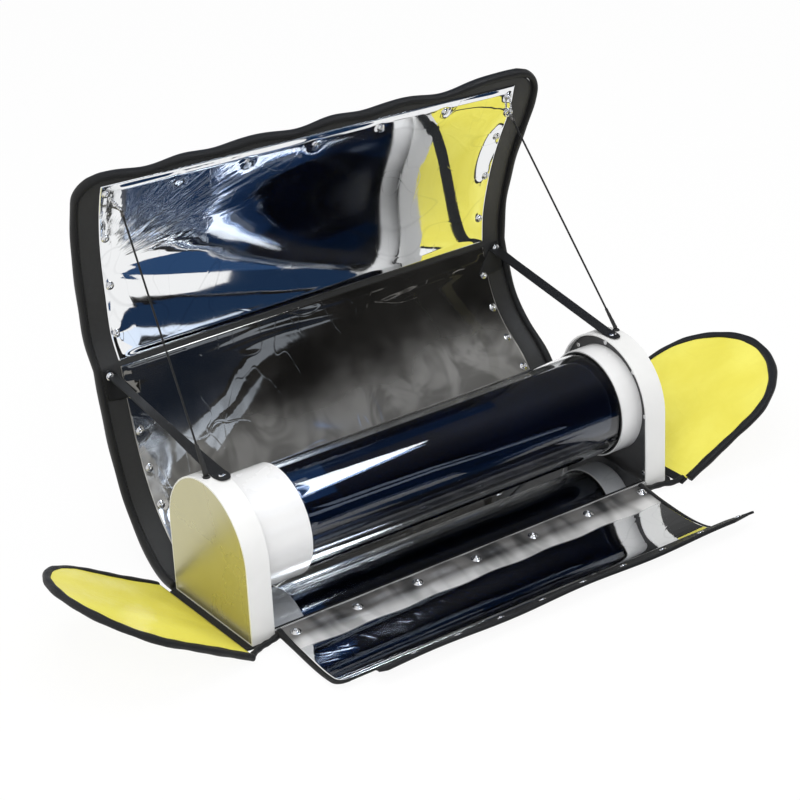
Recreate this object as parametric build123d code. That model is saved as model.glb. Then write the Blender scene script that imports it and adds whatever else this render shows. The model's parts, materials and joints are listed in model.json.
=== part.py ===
from build123d import *
import os
from math import cos, radians, sin, sqrt

os.makedirs("parts", exist_ok=True)

# Portable solar grill. Millimetres, +X along the glass tube, +Y to the rear, +Z up.
# The origin is the centre of the base's underside, on the ground.

# Base and end housings
BASE_LENGTH = 560.0
HOUSING_WIDTH = 28.5
SHEET = 2.0
FLOOR_THICK = 3.0
FLOOR_LIP = 9.7
FLOOR_EDGE = 1.9
FOLD_STEP = 0.9
PLATE_RIM = 11.5
COLLAR_LIFT = 13.7
RIM_FILLET = 0.8
PLATE_RECESS = 5.5
PLATE_THICK = 1.5
SLIP = 0.3
PLATE_FIT = 0.1

# Glass tube, its collars and seals
TUBE_RADIUS = 59.0
GLASS_WALL = 2.5
VACUUM_GAP = 5.5
INNER_GLASS_WALL = 2.0
TUBE_LIP = 3.0
TUBE_MOUTH_SETBACK = 20.0
DOME_SETBACK = 94.0
COLLAR_GAP = 2.0
COLLAR_WALL = 1.5
LEFT_COLLAR_REACH = 90.3
RIGHT_COLLAR_REACH = 51.1
COLLAR_FLANGE = 3.5
COLLAR_FLANGE_THICK = 2.0
GASKET_WIDTH = 8.0
GASKET_PROUD = 0.8
CLIP_OFFSET = 37.0
CLIP_THICK = 2.0
CUSHION_LENGTH = 22.0
MOUTH_STEP = 0.2
LINER_WALL = 2.8

# Cooking tray, plug and fold-down handle
TRAY_CLEARANCE = 6.0
TRAY_WALL = 1.0
TRAY_DOME_REACH = 14.0
TRAY_RIM_RISE = 6.0
PLUG_CLEARANCE = 3.0
PLUG_LENGTH = 36.0
PLUG_FACE_CLEARANCE = 1.0
PLUG_FACE_THICK = 5.0
PLUG_EDGE = 1.2
PLUG_INSET = 1.0
SEAL_WIDTH = 5.0
SEAL_SETBACK = 7.0
HANDLE_SPAN = 34.0
HANDLE_DROP = 24.0
HANDLE_RISE = 8.0
HANDLE_WIRE = 1.3
HANDLE_STANDOFF = 2.4
HANDLE_BEND = 3.0
EAR_WIDTH = 4.7
EAR_HEIGHT = 8.0
EAR_DEPTH = 4.4
PIN_CLEARANCE = 0.15
PIN_PROUD = 0.8

# Trough under the tube
PAN_SHEET = 1.5
PAN_LIP = 5.0
PAN_INSET = 2.0
PAN_RIB_SPACING = 50.0
MIRROR_THICK = 0.8
MIRROR_CROWN = 4.0
RAIL_WIDTH = 6.0
RAIL_HEIGHT = 8.0
RAIL_GROOVES = 3
RAIL_OVERLAP = 1.0
RAIL_FOOT = 2.6
RAIL_SCREWS = 7
RAIL_SCREW_INSET = 20.0
RAIL_SCREW_RADIUS = 1.9
RAIL_SCREW_HEAD = 0.9
GROOVE_WIDTH = 0.7
GROOVE_DEPTH = 0.5

# Screws of the inner plates
SCREW_ANGLES = (0, 45, 90, 135, 180)
SCREW_HEAD_RADIUS = 2.8
SCREW_HEAD = 1.6
SCREW_SHANK = 1.4
SCREW_HOLE = 1.5
SCREW_CORNER_SIDE = 8.0
SCREW_CORNER_RISE = 14.0

# Fabric panels, film skins and their bindings
FABRIC = 2.4
FILM_GAP = 0.5
FILM = 0.3
BORDER = 28.0
BINDING = 7.0
BINDING_IN = 3.0
BINDING_OUT = 2.0
RIVET_RADIUS = 3.5
RIVET_HEAD = 1.4
RIVET_SEAT = 0.4
GROMMET_SEAT = 0.8
SEAT = 0.05

# Front flap
FLAP_LEFT_GAP = 3.5
FLAP_RIGHT_GAP = 11.5
FLAP_BORDER = 5.0
FLAP_STEP = 0.6
FLAP_FABRIC = 2.0
HEM_LEFT_STEP = 34.0
HEM_TAIL = 54.5
HEM_DROP = 2.3
HEM_THICK = 3.0
EYELET_PITCH = 55.0
EYELET_COUNT = 9
EYELET_INSET = 21.5
EYELET_SLACK = 0.2
EYELET_LIP = 0.8
EYELET_RADIUS = 3.0
EYELET_BORE = 1.8
EYELET_FLANGE = 4.5
FLAP_RIVET_PITCH = 78.0
FLAP_RIVET_COUNT = 7
FLAP_RIVET_INSET = 13.0

# Side flaps
SIDE_FLAP_WIDTH = 192.0
LEFT_FLAP_LENGTH = 190.0
RIGHT_FLAP_LENGTH = 208.0
SIDE_FLAP_STRAIGHT = 114.0
SIDE_BORDER = 9.0
SIDE_BINDING_THICK = 4.4
SIDE_HINGE = 10.0
SIDE_ROOT = 0.2
LEFT_FLAP_ANGLE = 30.0
RIGHT_FLAP_ANGLE = 25.0
TAPE_WIDTH = 7.8

# Straps and stay cords
STRAP_WIDTH = 16.0
STRAP_THICK = 1.5
STRAP_TAB = 18.0
LEFT_STRAP_INSET = 22.0
RIGHT_STRAP_INSET = 17.0
LEFT_STRAP_LID_INSET = 15.0
RIGHT_STRAP_LID_INSET = 14.0
STRAP_LIFT = 0.6
STRAP_RIVET_RADIUS = 3.2
STRAP_RIVET_HEAD = 1.2
CORD_RADIUS = 1.1
SLEEVE_RADIUS = 2.3
SLEEVE_LENGTH = 14.0
ANCHOR_RADIUS = 4.0
ANCHOR_HEIGHT = 1.5
ANCHOR_Y = 4.0
LEFT_CORD_INSET = 8.5
RIGHT_CORD_INSET = 4.5
LEFT_CORD_LID_INSET = 51.0
RIGHT_CORD_LID_INSET = 30.0
GROMMET_RADIUS = 6.0
GROMMET_BORE = 3.0
GROMMET_HEIGHT = 1.2
CLASP_LENGTH = 7.0
CLASP_RADIUS = 2.4

HALF_LENGTH = BASE_LENGTH / 2
COLLAR_RADIUS = TUBE_RADIUS + COLLAR_GAP + COLLAR_WALL
INNER_TUBE_RADIUS = TUBE_RADIUS - GLASS_WALL - VACUUM_GAP
INNER_BORE = INNER_TUBE_RADIUS - INNER_GLASS_WALL
MOUTH_RADIUS = INNER_BORE + MOUTH_STEP
TRAY_RADIUS = INNER_BORE - TRAY_CLEARANCE
PLUG_RADIUS = INNER_BORE - PLUG_CLEARANCE
PLUG_FACE_RADIUS = INNER_BORE - PLUG_FACE_CLEARANCE
HALF_DEPTH = COLLAR_RADIUS + PLATE_RIM + SHEET
AXIS_Z = FLOOR_THICK + PAN_LIP + MIRROR_THICK + MIRROR_CROWN + COLLAR_LIFT + COLLAR_RADIUS
HOUSING_TOP = AXIS_Z + HALF_DEPTH
INNER_LIP = HALF_LENGTH - HOUSING_WIDTH
PLATE_X = INNER_LIP + PLATE_RECESS
TUBE_MOUTH_X = HALF_LENGTH - TUBE_MOUTH_SETBACK
DOME_X = -HALF_LENGTH + DOME_SETBACK
COLLAR_BORE = COLLAR_RADIUS - COLLAR_WALL
PAN_TOP = FLOOR_THICK + PAN_LIP
RAIL_FACE = HALF_DEPTH + RAIL_OVERLAP
FLOOR_X = HALF_LENGTH + FLOOR_LIP
SIDE_HINGE_X = HALF_LENGTH + SIDE_HINGE
FILM_TOP = FILM_GAP + FILM
FLAP_LEFT = -INNER_LIP + FLAP_LEFT_GAP
FLAP_RIGHT = INNER_LIP - FLAP_RIGHT_GAP
HEM_LEFT = FLAP_LEFT + HEM_LEFT_STEP
HEM_RIGHT = FLAP_RIGHT + HEM_TAIL


def behind(points, depth):
    """(y, z) points of a panel edge from (distance from a long edge of the base, height) pairs."""
    return [(depth + y if depth > 0 else depth - y, z) for y, z in points]


# Edge curves of the panels, from the hinge outwards
LID_ROOT = (FLOOR_EDGE + FOLD_STEP, 5.5)
FOLD_LEFT = (130, 215)
FOLD_RIGHT = (146, 208)
LOWER_LID = (
    behind([LID_ROOT, (29, 8.5), (57, 28), (84, 61), (106, 112), (120, 166), FOLD_LEFT], HALF_DEPTH),
    behind([LID_ROOT, (26, 27), (46, 58), (70, 90), (105, 118), (133, 160), FOLD_RIGHT], HALF_DEPTH),
    1,
)
UPPER_LID = (
    behind([FOLD_LEFT, (143, 240), (149, 285), (152, 330), (149, 375), (141, 408), (133, 428)], HALF_DEPTH),
    behind([FOLD_RIGHT, (142, 247), (131, 287), (116, 327), (98, 363), (79, 402), (69, 437)], HALF_DEPTH),
    1,
)
FLAP_EDGE = behind(
    [(RAIL_OVERLAP + FLAP_STEP, 11), (24, 8.2), (50, 5.6), (77, 3.8), (103, 4.6), (126, 10), (138, 16)],
    -HALF_DEPTH,
)
FRONT_FLAP = (FLAP_EDGE, FLAP_EDGE, -1)
SECTION_POINTS = 8

# Places along the panels, as shares of their edge curves
LOWER_END = 0.996
UPPER_START = 0.003
LOWER_FILM = (0.05, 0.985)
UPPER_FILM = (0.015, 0.93)
TOP_BAND = 0.968
BAND_START = 0.02
THIN_BAND_END = 0.13
LOWER_RIVETS = (0.22, 0.38, 0.54, 0.70, 0.86)
UPPER_RIVETS = (0.15, 0.40, 0.65)
TOP_RIVETS = 0.90
TOP_RIVET_GAPS = 6
STRAP_SHARE = 0.965
CORD_SHARE = 0.80
FLAP_FABRIC_END = 0.87
FLAP_FILM = (0.03, 0.86)
FLAP_RIVETS = 0.09
HEM_START = 0.872
HEM_MIDDLE = (HEM_START + 1) / 2


def save(name, *solids):
    """Write one sub-part, of one or more separate solids."""
    found = [solid for shape in solids for solid in shape.solids()]
    export_step(found[0] if len(found) == 1 else Compound(children=found), f"parts/{name}.step")


def upright(radius, height):
    """Solid cylinder that stands on the XY plane."""
    return Cylinder(radius, height, align=(Align.CENTER, Align.CENTER, Align.MIN))


def rod(radius, start, length):
    """Solid cylinder along the tube axis, from x = start."""
    return Pos(start, 0, AXIS_Z) * Rot(0, 90, 0) * upright(radius, length)


def ring(outer, inner, start, length):
    return rod(outer, start, length) - rod(inner, start - 1, length + 2)


def block(low, high):
    """Box from its lowest to its highest corner."""
    size = [b - a for a, b in zip(low, high)]
    return Pos(*low) * Box(*size, align=(Align.MIN, Align.MIN, Align.MIN))


def arch(half, foot, start, width):
    """D-shaped slab across the base: straight sides from foot to the tube axis, round above."""
    sides = Polyline((-half, AXIS_Z), (-half, foot), (half, foot), (half, AXIS_Z))
    top = ThreePointArc((half, AXIS_Z), (0, AXIS_Z + half), (-half, AXIS_Z))
    return extrude(Plane.YZ.offset(start) * make_face(sides + top), width)


def edge_curve(panel, x):
    """Edge curve of a panel at x, on the straight lines from its left to its right edge."""
    left, right, _ = panel
    share = (x + HALF_LENGTH) / BASE_LENGTH
    mixed = [tuple(a + (b - a) * share for a, b in zip(p, q)) for p, q in zip(left, right)]
    return Spline(*[(x, y, z) for y, z in mixed])


def panel_frame(panel, x, t):
    """Point and inward normal of a panel at x and at the share t of its edge curve."""
    curve = edge_curve(panel, x)
    tangent = curve % t
    side = panel[2]
    return curve @ t, Vector(0, -tangent.Z * side, tangent.Y * side)


def panel_point(panel, x, t, height):
    point, normal = panel_frame(panel, x, t)
    return point + normal * height


def panel_section(panel, x, t_range, heights):
    first, last = t_range
    step = (last - first) / (SECTION_POINTS - 1)
    steps = [first + i * step for i in range(SECTION_POINTS)]
    curve = edge_curve(panel, x)
    side = panel[2]
    lines = []
    for height in heights:
        row = []
        for t in steps:
            tangent = curve % t
            row.append(curve @ t + Vector(0, -tangent.Z * side, tangent.Y * side) * height)
        lines.append(row)
    low, high = lines
    ends = [Line(low[-1], high[-1]), Line(high[0], low[0])]
    return make_face([Spline(*low), ends[0], Spline(*reversed(high)), ends[1]])


def sheet_panel(panel, x_range, t_range, heights):
    """Curved sheet of a panel between two x places, two shares of its curve and two heights."""
    sections = [panel_section(panel, x, t_range, heights) for x in x_range]
    return loft(sections, ruled=True)


def on_panel(panel, x, t, height, shape):
    """Shape, modelled on the XY plane, set on a panel and standing along its inward normal."""
    point, normal = panel_frame(panel, x, t)
    return Plane(origin=point + normal * height, x_dir=(1, 0, 0), z_dir=normal) * shape


def rivet(panel, x, t):
    """Domed rivet head on the film of a panel."""
    head = upright(RIVET_RADIUS, RIVET_HEAD)
    head = chamfer(head.edges().sort_by(Axis.Z)[-1], RIVET_HEAD / 2)
    return on_panel(panel, x, t, FILM_TOP + RIVET_SEAT, head)


def straight_rod(start, end, radius):
    """Round bar between two points."""
    run = Vector(*end) - Vector(*start)
    return Plane(origin=start, z_dir=run) * upright(radius, run.length)


def make_base():
    floor = block((-FLOOR_X, -HALF_DEPTH - FLOOR_EDGE, 0), (FLOOR_X, HALF_DEPTH + FLOOR_EDGE, FLOOR_THICK))
    save("bag_floor", floor)
    pan_half = HALF_DEPTH - PAN_INSET
    pan_x = INNER_LIP - SLIP
    pan = block((-pan_x, -pan_half, FLOOR_THICK), (pan_x, pan_half, FLOOR_THICK + PAN_SHEET))
    for side in (-1, 1):
        outer = side * pan_half
        inner = side * (pan_half - PAN_SHEET)
        low_y, high_y = sorted((outer, inner))
        pan += block((-pan_x, low_y, FLOOR_THICK), (pan_x, high_y, PAN_TOP))
        rib_y = side * PAN_RIB_SPACING / 2
        rib_top = PAN_TOP + mirror_rise(PAN_RIB_SPACING / 2 + PAN_SHEET) - SLIP
        pan += block((-pan_x, rib_y - PAN_SHEET, FLOOR_THICK), (pan_x, rib_y + PAN_SHEET, rib_top))
    save("base_tray", pan)
    save("trough_mirror", trough_mirror(pan_half, pan_x))
    for name, side in (("front_clamp_rail", -1), ("rear_clamp_rail", 1)):
        save(name, clamp_rail(side, pan_x))
    for name, side in (("front_rail_screws", -1), ("rear_rail_screws", 1)):
        save(name, *rail_screws(side, pan_x))


def mirror_rise(y):
    """Height of the crowned trough mirror's underside above its edges."""
    half = HALF_DEPTH - PAN_INSET
    radius = (half ** 2 + MIRROR_CROWN ** 2) / (2 * MIRROR_CROWN)
    return sqrt(radius ** 2 - y ** 2) - (radius - MIRROR_CROWN)


def trough_mirror(half, end):
    """Mirror sheet over the pan, crowned under the tube."""
    low = ThreePointArc((-half, PAN_TOP), (0, PAN_TOP + MIRROR_CROWN), (half, PAN_TOP))
    top_z = PAN_TOP + MIRROR_THICK
    high = ThreePointArc((half, top_z), (0, top_z + MIRROR_CROWN), (-half, top_z))
    sides = [Line((half, PAN_TOP), (half, top_z)), Line((-half, top_z), (-half, PAN_TOP))]
    profile = make_face([low, sides[0], high, sides[1]])
    return extrude(Plane.YZ.offset(-end) * profile, 2 * end)


def rail_profile():
    """(depth, height) outline of a clamp rail: a foot outside the pan and a lip over the mirror."""
    lip_low = PAN_LIP + MIRROR_THICK + 2 * SLIP
    inner = RAIL_WIDTH + RAIL_OVERLAP - RAIL_FOOT
    outer = RAIL_WIDTH + RAIL_OVERLAP
    return [(outer, 0), (outer, RAIL_HEIGHT), (0, RAIL_HEIGHT), (0, lip_low), (inner, lip_low), (inner, 0)]


def clamp_rail(side, end):
    """Grooved rail that holds the film and fabric along one long edge of the base."""
    base_y = RAIL_FACE - RAIL_WIDTH - RAIL_OVERLAP
    points = [(side * (base_y + depth), FLOOR_THICK + height) for depth, height in rail_profile()]
    body = extrude(Plane.YZ.offset(-end) * make_face(Polyline(*points, close=True)), 2 * end)
    pitch = (RAIL_WIDTH + RAIL_OVERLAP) / RAIL_GROOVES
    floor_z = FLOOR_THICK + RAIL_HEIGHT - GROOVE_DEPTH
    for i in range(RAIL_GROOVES):
        y = side * (base_y + pitch * (i + 0.5))
        low = (-end - 1, y - GROOVE_WIDTH / 2, floor_z)
        body -= block(low, (end + 1, y + GROOVE_WIDTH / 2, floor_z + 1))
    return body


def rail_screws(side, end):
    """Screw heads along the outer face of a clamp rail."""
    head = Rot(-90 * side, 0, 0) * upright(RAIL_SCREW_RADIUS, RAIL_SCREW_HEAD)
    z = FLOOR_THICK + RAIL_SCREW_RADIUS + SLIP
    pitch = 2 * (end - RAIL_SCREW_INSET) / (RAIL_SCREWS - 1)
    return [Pos(-end + RAIL_SCREW_INSET + i * pitch, side * RAIL_FACE, z) * head for i in range(RAIL_SCREWS)]


def screw_places():
    """(y, z) of the screws that hold an inner plate, round the collar and at its lower corners."""
    reach = COLLAR_RADIUS + PLATE_RIM / 2
    round_places = [(reach * cos(radians(a)), AXIS_Z + reach * sin(radians(a))) for a in SCREW_ANGLES]
    low_y = HALF_DEPTH - SHEET - SCREW_CORNER_SIDE
    low_z = FLOOR_THICK + SCREW_CORNER_RISE
    return round_places + [(low_y, low_z), (-low_y, low_z)]


def make_housings():
    inner = HALF_DEPTH - SHEET
    foot = FLOOR_THICK + SHEET
    for name, side in (("left", -1), ("right", 1)):
        start = -HALF_LENGTH if side < 0 else INNER_LIP
        shell = arch(HALF_DEPTH, FLOOR_THICK, start, HOUSING_WIDTH)
        shell -= arch(inner, foot, start - 1, HOUSING_WIDTH + 2)
        rims = shell.edges().filter_by(GeomType.CIRCLE).filter_by(lambda e: e.radius > inner + 1)
        shell = fillet(rims, RIM_FILLET)
        save(f"{name}_housing_shell", shell)
        plate_start = -HALF_LENGTH if side < 0 else HALF_LENGTH - SHEET
        cover = arch(inner - PLATE_FIT, foot + PLATE_FIT, plate_start, SHEET)
        if side > 0:
            cover -= rod(MOUTH_RADIUS + PLATE_FIT, plate_start - 1, SHEET + 2)
        save(f"{name}_end_plate", cover)
        plate_low = side * PLATE_X if side > 0 else side * PLATE_X - PLATE_THICK
        plate = arch(inner - PLATE_FIT, foot + PLATE_FIT, plate_low, PLATE_THICK)
        plate -= rod(COLLAR_RADIUS + SLIP, plate_low - 1, PLATE_THICK + 2)
        screws = []
        for y, z in screw_places():
            turn = Rot(0, -90 * side, 0)
            face = Pos(side * PLATE_X, y, z)
            plate -= face * turn * Cylinder(SCREW_HOLE, 3 * PLATE_THICK)
            head = upright(SCREW_HEAD_RADIUS, SCREW_HEAD)
            head = chamfer(head.edges().sort_by(Axis.Z)[-1], SCREW_HEAD / 4)
            shank = Pos(0, 0, -PLATE_THICK) * upright(SCREW_SHANK, PLATE_THICK)
            screws.append(face * turn * (head + shank))
        save(f"{name}_inner_plate", plate)
        save(f"{name}_plate_screws", *screws)


def make_collars():
    flange_x = PLATE_X + PLATE_THICK + SLIP
    reaches = (("left", -1, LEFT_COLLAR_REACH), ("right", 1, RIGHT_COLLAR_REACH))
    for name, side, reach in reaches:
        mouth = side * (HALF_LENGTH - reach)
        back = side * (flange_x + COLLAR_FLANGE_THICK)
        low, high = sorted((mouth, back))
        collar = rod(COLLAR_RADIUS, low, high - low)
        flange_low = min(back, side * flange_x)
        collar += rod(COLLAR_RADIUS + COLLAR_FLANGE, flange_low, COLLAR_FLANGE_THICK)
        collar -= rod(COLLAR_BORE, low - 1, high - low + 2)
        save(f"{name}_collar", collar)
        inner_end = mouth + side * GASKET_WIDTH
        proud_end = mouth - side * GASKET_PROUD
        low, high = sorted((inner_end, proud_end))
        save(f"{name}_tube_gasket", ring(COLLAR_BORE - SLIP, TUBE_RADIUS + SLIP, low, high - low))


def dome(radius, end):
    """Round bar with a half-ball at its left end, up to x = end."""
    return rod(radius, DOME_X, end - DOME_X) + Pos(DOME_X, 0, AXIS_Z) * Sphere(radius)


def make_tube():
    bore = TUBE_RADIUS - GLASS_WALL
    outer = dome(TUBE_RADIUS, TUBE_MOUTH_X) - dome(bore, TUBE_MOUTH_X - TUBE_LIP)
    outer -= rod(INNER_BORE, TUBE_MOUTH_X - 2 * TUBE_LIP, 3 * TUBE_LIP)
    save("outer_glass_tube", outer)
    inner_end = TUBE_MOUTH_X - TUBE_LIP
    inner = dome(INNER_TUBE_RADIUS, inner_end) - dome(INNER_BORE, inner_end + 1)
    save("inner_glass_tube", inner)
    clip_x = DOME_X - CLIP_OFFSET
    clip_bore = sqrt(INNER_TUBE_RADIUS ** 2 - (CLIP_OFFSET - CLIP_THICK) ** 2) + SLIP
    clip_rim = sqrt(bore ** 2 - CLIP_OFFSET ** 2) - SLIP
    save("tube_support_clip", ring(clip_rim, clip_bore, clip_x, CLIP_THICK))
    cushion_x = -PLATE_X + SLIP
    cushion = rod(COLLAR_BORE - SLIP, cushion_x, CUSHION_LENGTH)
    cushion -= Pos(DOME_X, 0, AXIS_Z) * Sphere(TUBE_RADIUS + SLIP)
    save("tube_end_cushion", cushion)
    liner_x = TUBE_MOUTH_X + SLIP
    liner_end = HALF_LENGTH - SHEET - SLIP
    save("mouth_liner", ring(MOUTH_RADIUS + LINER_WALL, MOUTH_RADIUS, liner_x, liner_end - liner_x))


def make_tray():
    plug_end = HALF_LENGTH - PLUG_INSET - PLUG_FACE_THICK
    plug_start = plug_end - PLUG_LENGTH
    tray_start = DOME_X - TRAY_DOME_REACH
    length = plug_start - tray_start
    tray = rod(TRAY_RADIUS, tray_start, length)
    tray -= rod(TRAY_RADIUS - TRAY_WALL, tray_start + TRAY_WALL, length - 2 * TRAY_WALL)
    rim = AXIS_Z + TRAY_RIM_RISE
    reach = TRAY_RADIUS + 1
    tray -= block((tray_start - 1, -reach, rim), (plug_start + 1, reach, rim + reach))
    save("cooking_tray", tray)
    save("tray_plug", rod(PLUG_RADIUS, plug_start, PLUG_LENGTH))
    seal_x = TUBE_MOUTH_X - SEAL_SETBACK - SEAL_WIDTH
    save("plug_seal", ring(INNER_BORE - SLIP, PLUG_RADIUS + SEAT, seal_x, SEAL_WIDTH))
    face = rod(PLUG_FACE_RADIUS, plug_end, PLUG_FACE_THICK)
    face = fillet(face.edges().sort_by(Axis.X)[-1], PLUG_EDGE)
    save("plug_face", face)
    ear_z = AXIS_Z + HANDLE_RISE
    face_x = HALF_LENGTH - PLUG_INSET
    pivot_x = face_x + HANDLE_STANDOFF
    ear_y = HANDLE_SPAN / 2 + HANDLE_BEND + SLIP
    ears = []
    for side in (-1, 1):
        low_y, high_y = sorted((side * ear_y, side * (ear_y + EAR_WIDTH)))
        low = (face_x, low_y, ear_z - EAR_HEIGHT / 2)
        high = (face_x + EAR_DEPTH, high_y, ear_z + EAR_HEIGHT / 2)
        hole = Cylinder(HANDLE_WIRE + PIN_CLEARANCE, 4 * EAR_WIDTH)
        ear = block(low, high) - Pos(pivot_x, side * ear_y, ear_z) * Rot(90, 0, 0) * hole
        ears.append(ear)
    save("handle_ears", *ears)
    pin_y = ear_y + EAR_WIDTH + PIN_PROUD
    grip_y = HANDLE_SPAN / 2
    low_z = ear_z - HANDLE_DROP
    one_side = [(-pin_y, ear_z), (-grip_y, ear_z), (-grip_y, low_z)]
    other_side = [(-y, z) for y, z in reversed(one_side)]
    path = FilletPolyline(*[(pivot_x, y, z) for y, z in one_side + other_side], radius=HANDLE_BEND)
    start = Plane(origin=path @ 0, z_dir=path % 0)
    save("tray_handle", sweep(start * Circle(HANDLE_WIRE), path=path))


def make_lid():
    inside = HALF_LENGTH - BINDING / 2
    film_x = HALF_LENGTH - BORDER
    outside = HALF_LENGTH + BINDING / 2
    fabric = (-FABRIC, 0.0)
    film = (FILM_GAP, FILM_TOP)
    band = (-FABRIC - BINDING_OUT, BINDING_IN)
    lower_fabric = sheet_panel(LOWER_LID, (-inside, inside), (0.0, LOWER_END), fabric)
    save("lid_lower_fabric", lower_fabric)
    save("lid_lower_film", sheet_panel(LOWER_LID, (-film_x, film_x), LOWER_FILM, film))
    upper_fabric = sheet_panel(UPPER_LID, (-inside, inside), (UPPER_START, TOP_BAND), fabric)
    save("lid_upper_fabric", upper_fabric)
    save("lid_upper_film", sheet_panel(UPPER_LID, (-film_x, film_x), UPPER_FILM, film))
    sides = ((-outside, -inside), (inside, outside))
    lower_band = (-FABRIC, BINDING_IN)
    save(
        "lid_lower_binding",
        *[sheet_panel(LOWER_LID, x_range, (BAND_START, THIN_BAND_END), lower_band) for x_range in sides],
        *[sheet_panel(LOWER_LID, x_range, (THIN_BAND_END, LOWER_FILM[1]), band) for x_range in sides],
    )
    upper_bands = [sheet_panel(UPPER_LID, x_range, (BAND_START, 1.0), band) for x_range in sides]
    upper_bands.append(sheet_panel(UPPER_LID, (-inside, inside), (TOP_BAND, 1.0), band))
    save("lid_upper_binding", *upper_bands)
    edge_x = film_x - 2 * RIVET_RADIUS
    lower_rivets = [rivet(LOWER_LID, side * edge_x, t) for side in (-1, 1) for t in LOWER_RIVETS]
    save("lid_lower_rivets", *lower_rivets)
    upper_rivets = [rivet(UPPER_LID, side * edge_x, t) for side in (-1, 1) for t in UPPER_RIVETS]
    top_pitch = 2 * edge_x / TOP_RIVET_GAPS
    top_places = [-edge_x + i * top_pitch for i in range(TOP_RIVET_GAPS + 1)]
    upper_rivets += [rivet(UPPER_LID, x, TOP_RIVETS) for x in top_places]
    save("lid_upper_rivets", *upper_rivets)


def grommet(x, t):
    height = FILM_TOP + GROMMET_SEAT
    washer = upright(GROMMET_RADIUS, GROMMET_HEIGHT) - Pos(0, 0, -1) * upright(GROMMET_BORE, 4)
    return on_panel(UPPER_LID, x, t, height, washer)


def make_front_flap():
    fabric_x = (FLAP_LEFT, FLAP_RIGHT)
    save("front_flap_fabric", sheet_panel(FRONT_FLAP, fabric_x, (0.0, FLAP_FABRIC_END), (-FLAP_FABRIC, 0.0)))
    film_x = (FLAP_LEFT + FLAP_BORDER, FLAP_RIGHT - FLAP_BORDER)
    save("front_flap_film", sheet_panel(FRONT_FLAP, film_x, FLAP_FILM, (FILM_GAP, FILM_TOP)))
    first = FLAP_LEFT + FLAP_RIVET_INSET
    places = [first + i * FLAP_RIVET_PITCH for i in range(FLAP_RIVET_COUNT)]
    save("front_flap_rivets", *[rivet(FRONT_FLAP, x, FLAP_RIVETS) for x in places])
    hem_heights = (-HEM_DROP, HEM_THICK - HEM_DROP)
    hem = sheet_panel(FRONT_FLAP, (HEM_LEFT, HEM_RIGHT), (HEM_START, 1.0), hem_heights)
    hole = upright(EYELET_RADIUS + EYELET_SLACK, 2 * HEM_THICK)
    barrel = upright(EYELET_RADIUS, HEM_THICK) + Pos(0, 0, HEM_THICK) * upright(EYELET_FLANGE, EYELET_LIP)
    barrel -= Pos(0, 0, -HEM_THICK) * upright(EYELET_BORE, 4 * HEM_THICK)
    eyelets = []
    for i in range(EYELET_COUNT):
        x = HEM_RIGHT - EYELET_INSET - i * EYELET_PITCH
        hem -= on_panel(FRONT_FLAP, x, HEM_MIDDLE, -HEM_DROP - HEM_THICK / 2, hole)
        eyelets.append(on_panel(FRONT_FLAP, x, HEM_MIDDLE, -HEM_DROP + RIVET_SEAT, barrel))
    save("front_hem_strip", hem)
    save("hem_eyelets", *eyelets)


def flap_outline(half, root, straight, tip):
    """D-shaped outline of a side flap on the XY plane: x is outwards, y along the hinge."""
    sides = Polyline((straight, -half), (root, -half), (root, half), (straight, half))
    nose = ThreePointArc((straight, half), (tip, 0), (straight, -half))
    return make_face(sides + nose)


def side_flap(start, side, angle, length):
    """Fabric and binding of a side flap whose panel runs from start to length from its hinge line."""
    half = SIDE_FLAP_WIDTH / 2
    fabric_tip = length - SIDE_BORDER
    fabric_face = flap_outline(half - SIDE_BORDER, start, SIDE_FLAP_STRAIGHT, fabric_tip)
    edge_face = flap_outline(half, start, SIDE_FLAP_STRAIGHT, length)
    fabric = Pos(0, 0, -FABRIC / 2) * extrude(fabric_face, FABRIC, dir=(0, 0, 1))
    solid_edge = Pos(0, 0, -SIDE_BINDING_THICK / 2) * extrude(edge_face, SIDE_BINDING_THICK, dir=(0, 0, 1))
    hollow_face = flap_outline(half - SIDE_BORDER, start - SIDE_BORDER, SIDE_FLAP_STRAIGHT, fabric_tip)
    hollow = Pos(0, 0, -SIDE_BINDING_THICK) * extrude(hollow_face, 2 * SIDE_BINDING_THICK, dir=(0, 0, 1))
    binding = solid_edge - hollow
    place = flap_place(side, angle)
    return place * fabric, place * binding


def flap_place(side, angle):
    """Location of a side flap's own plane: x outwards from the hinge line, z its upper face."""
    turn = Rot(0, -angle, 0) if side > 0 else Rot(0, angle, 180)
    return Pos(side * SIDE_HINGE_X, 0, FLOOR_THICK) * turn


def make_side_flaps():
    fabric, binding = side_flap(SIDE_ROOT, -1, LEFT_FLAP_ANGLE, LEFT_FLAP_LENGTH)
    save("left_flap_fabric", fabric)
    save("left_flap_binding", binding)
    right_start = SIDE_ROOT * 2 + TAPE_WIDTH
    fabric, binding = side_flap(right_start, 1, RIGHT_FLAP_ANGLE, RIGHT_FLAP_LENGTH)
    save("right_flap_fabric", fabric)
    save("right_flap_binding", binding)
    half = SIDE_FLAP_WIDTH / 2
    tape = block((SIDE_ROOT, -half, -FABRIC / 2), (TAPE_WIDTH, half, FABRIC / 2))
    save("right_flap_tape", flap_place(1, RIGHT_FLAP_ANGLE) * tape)


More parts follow.
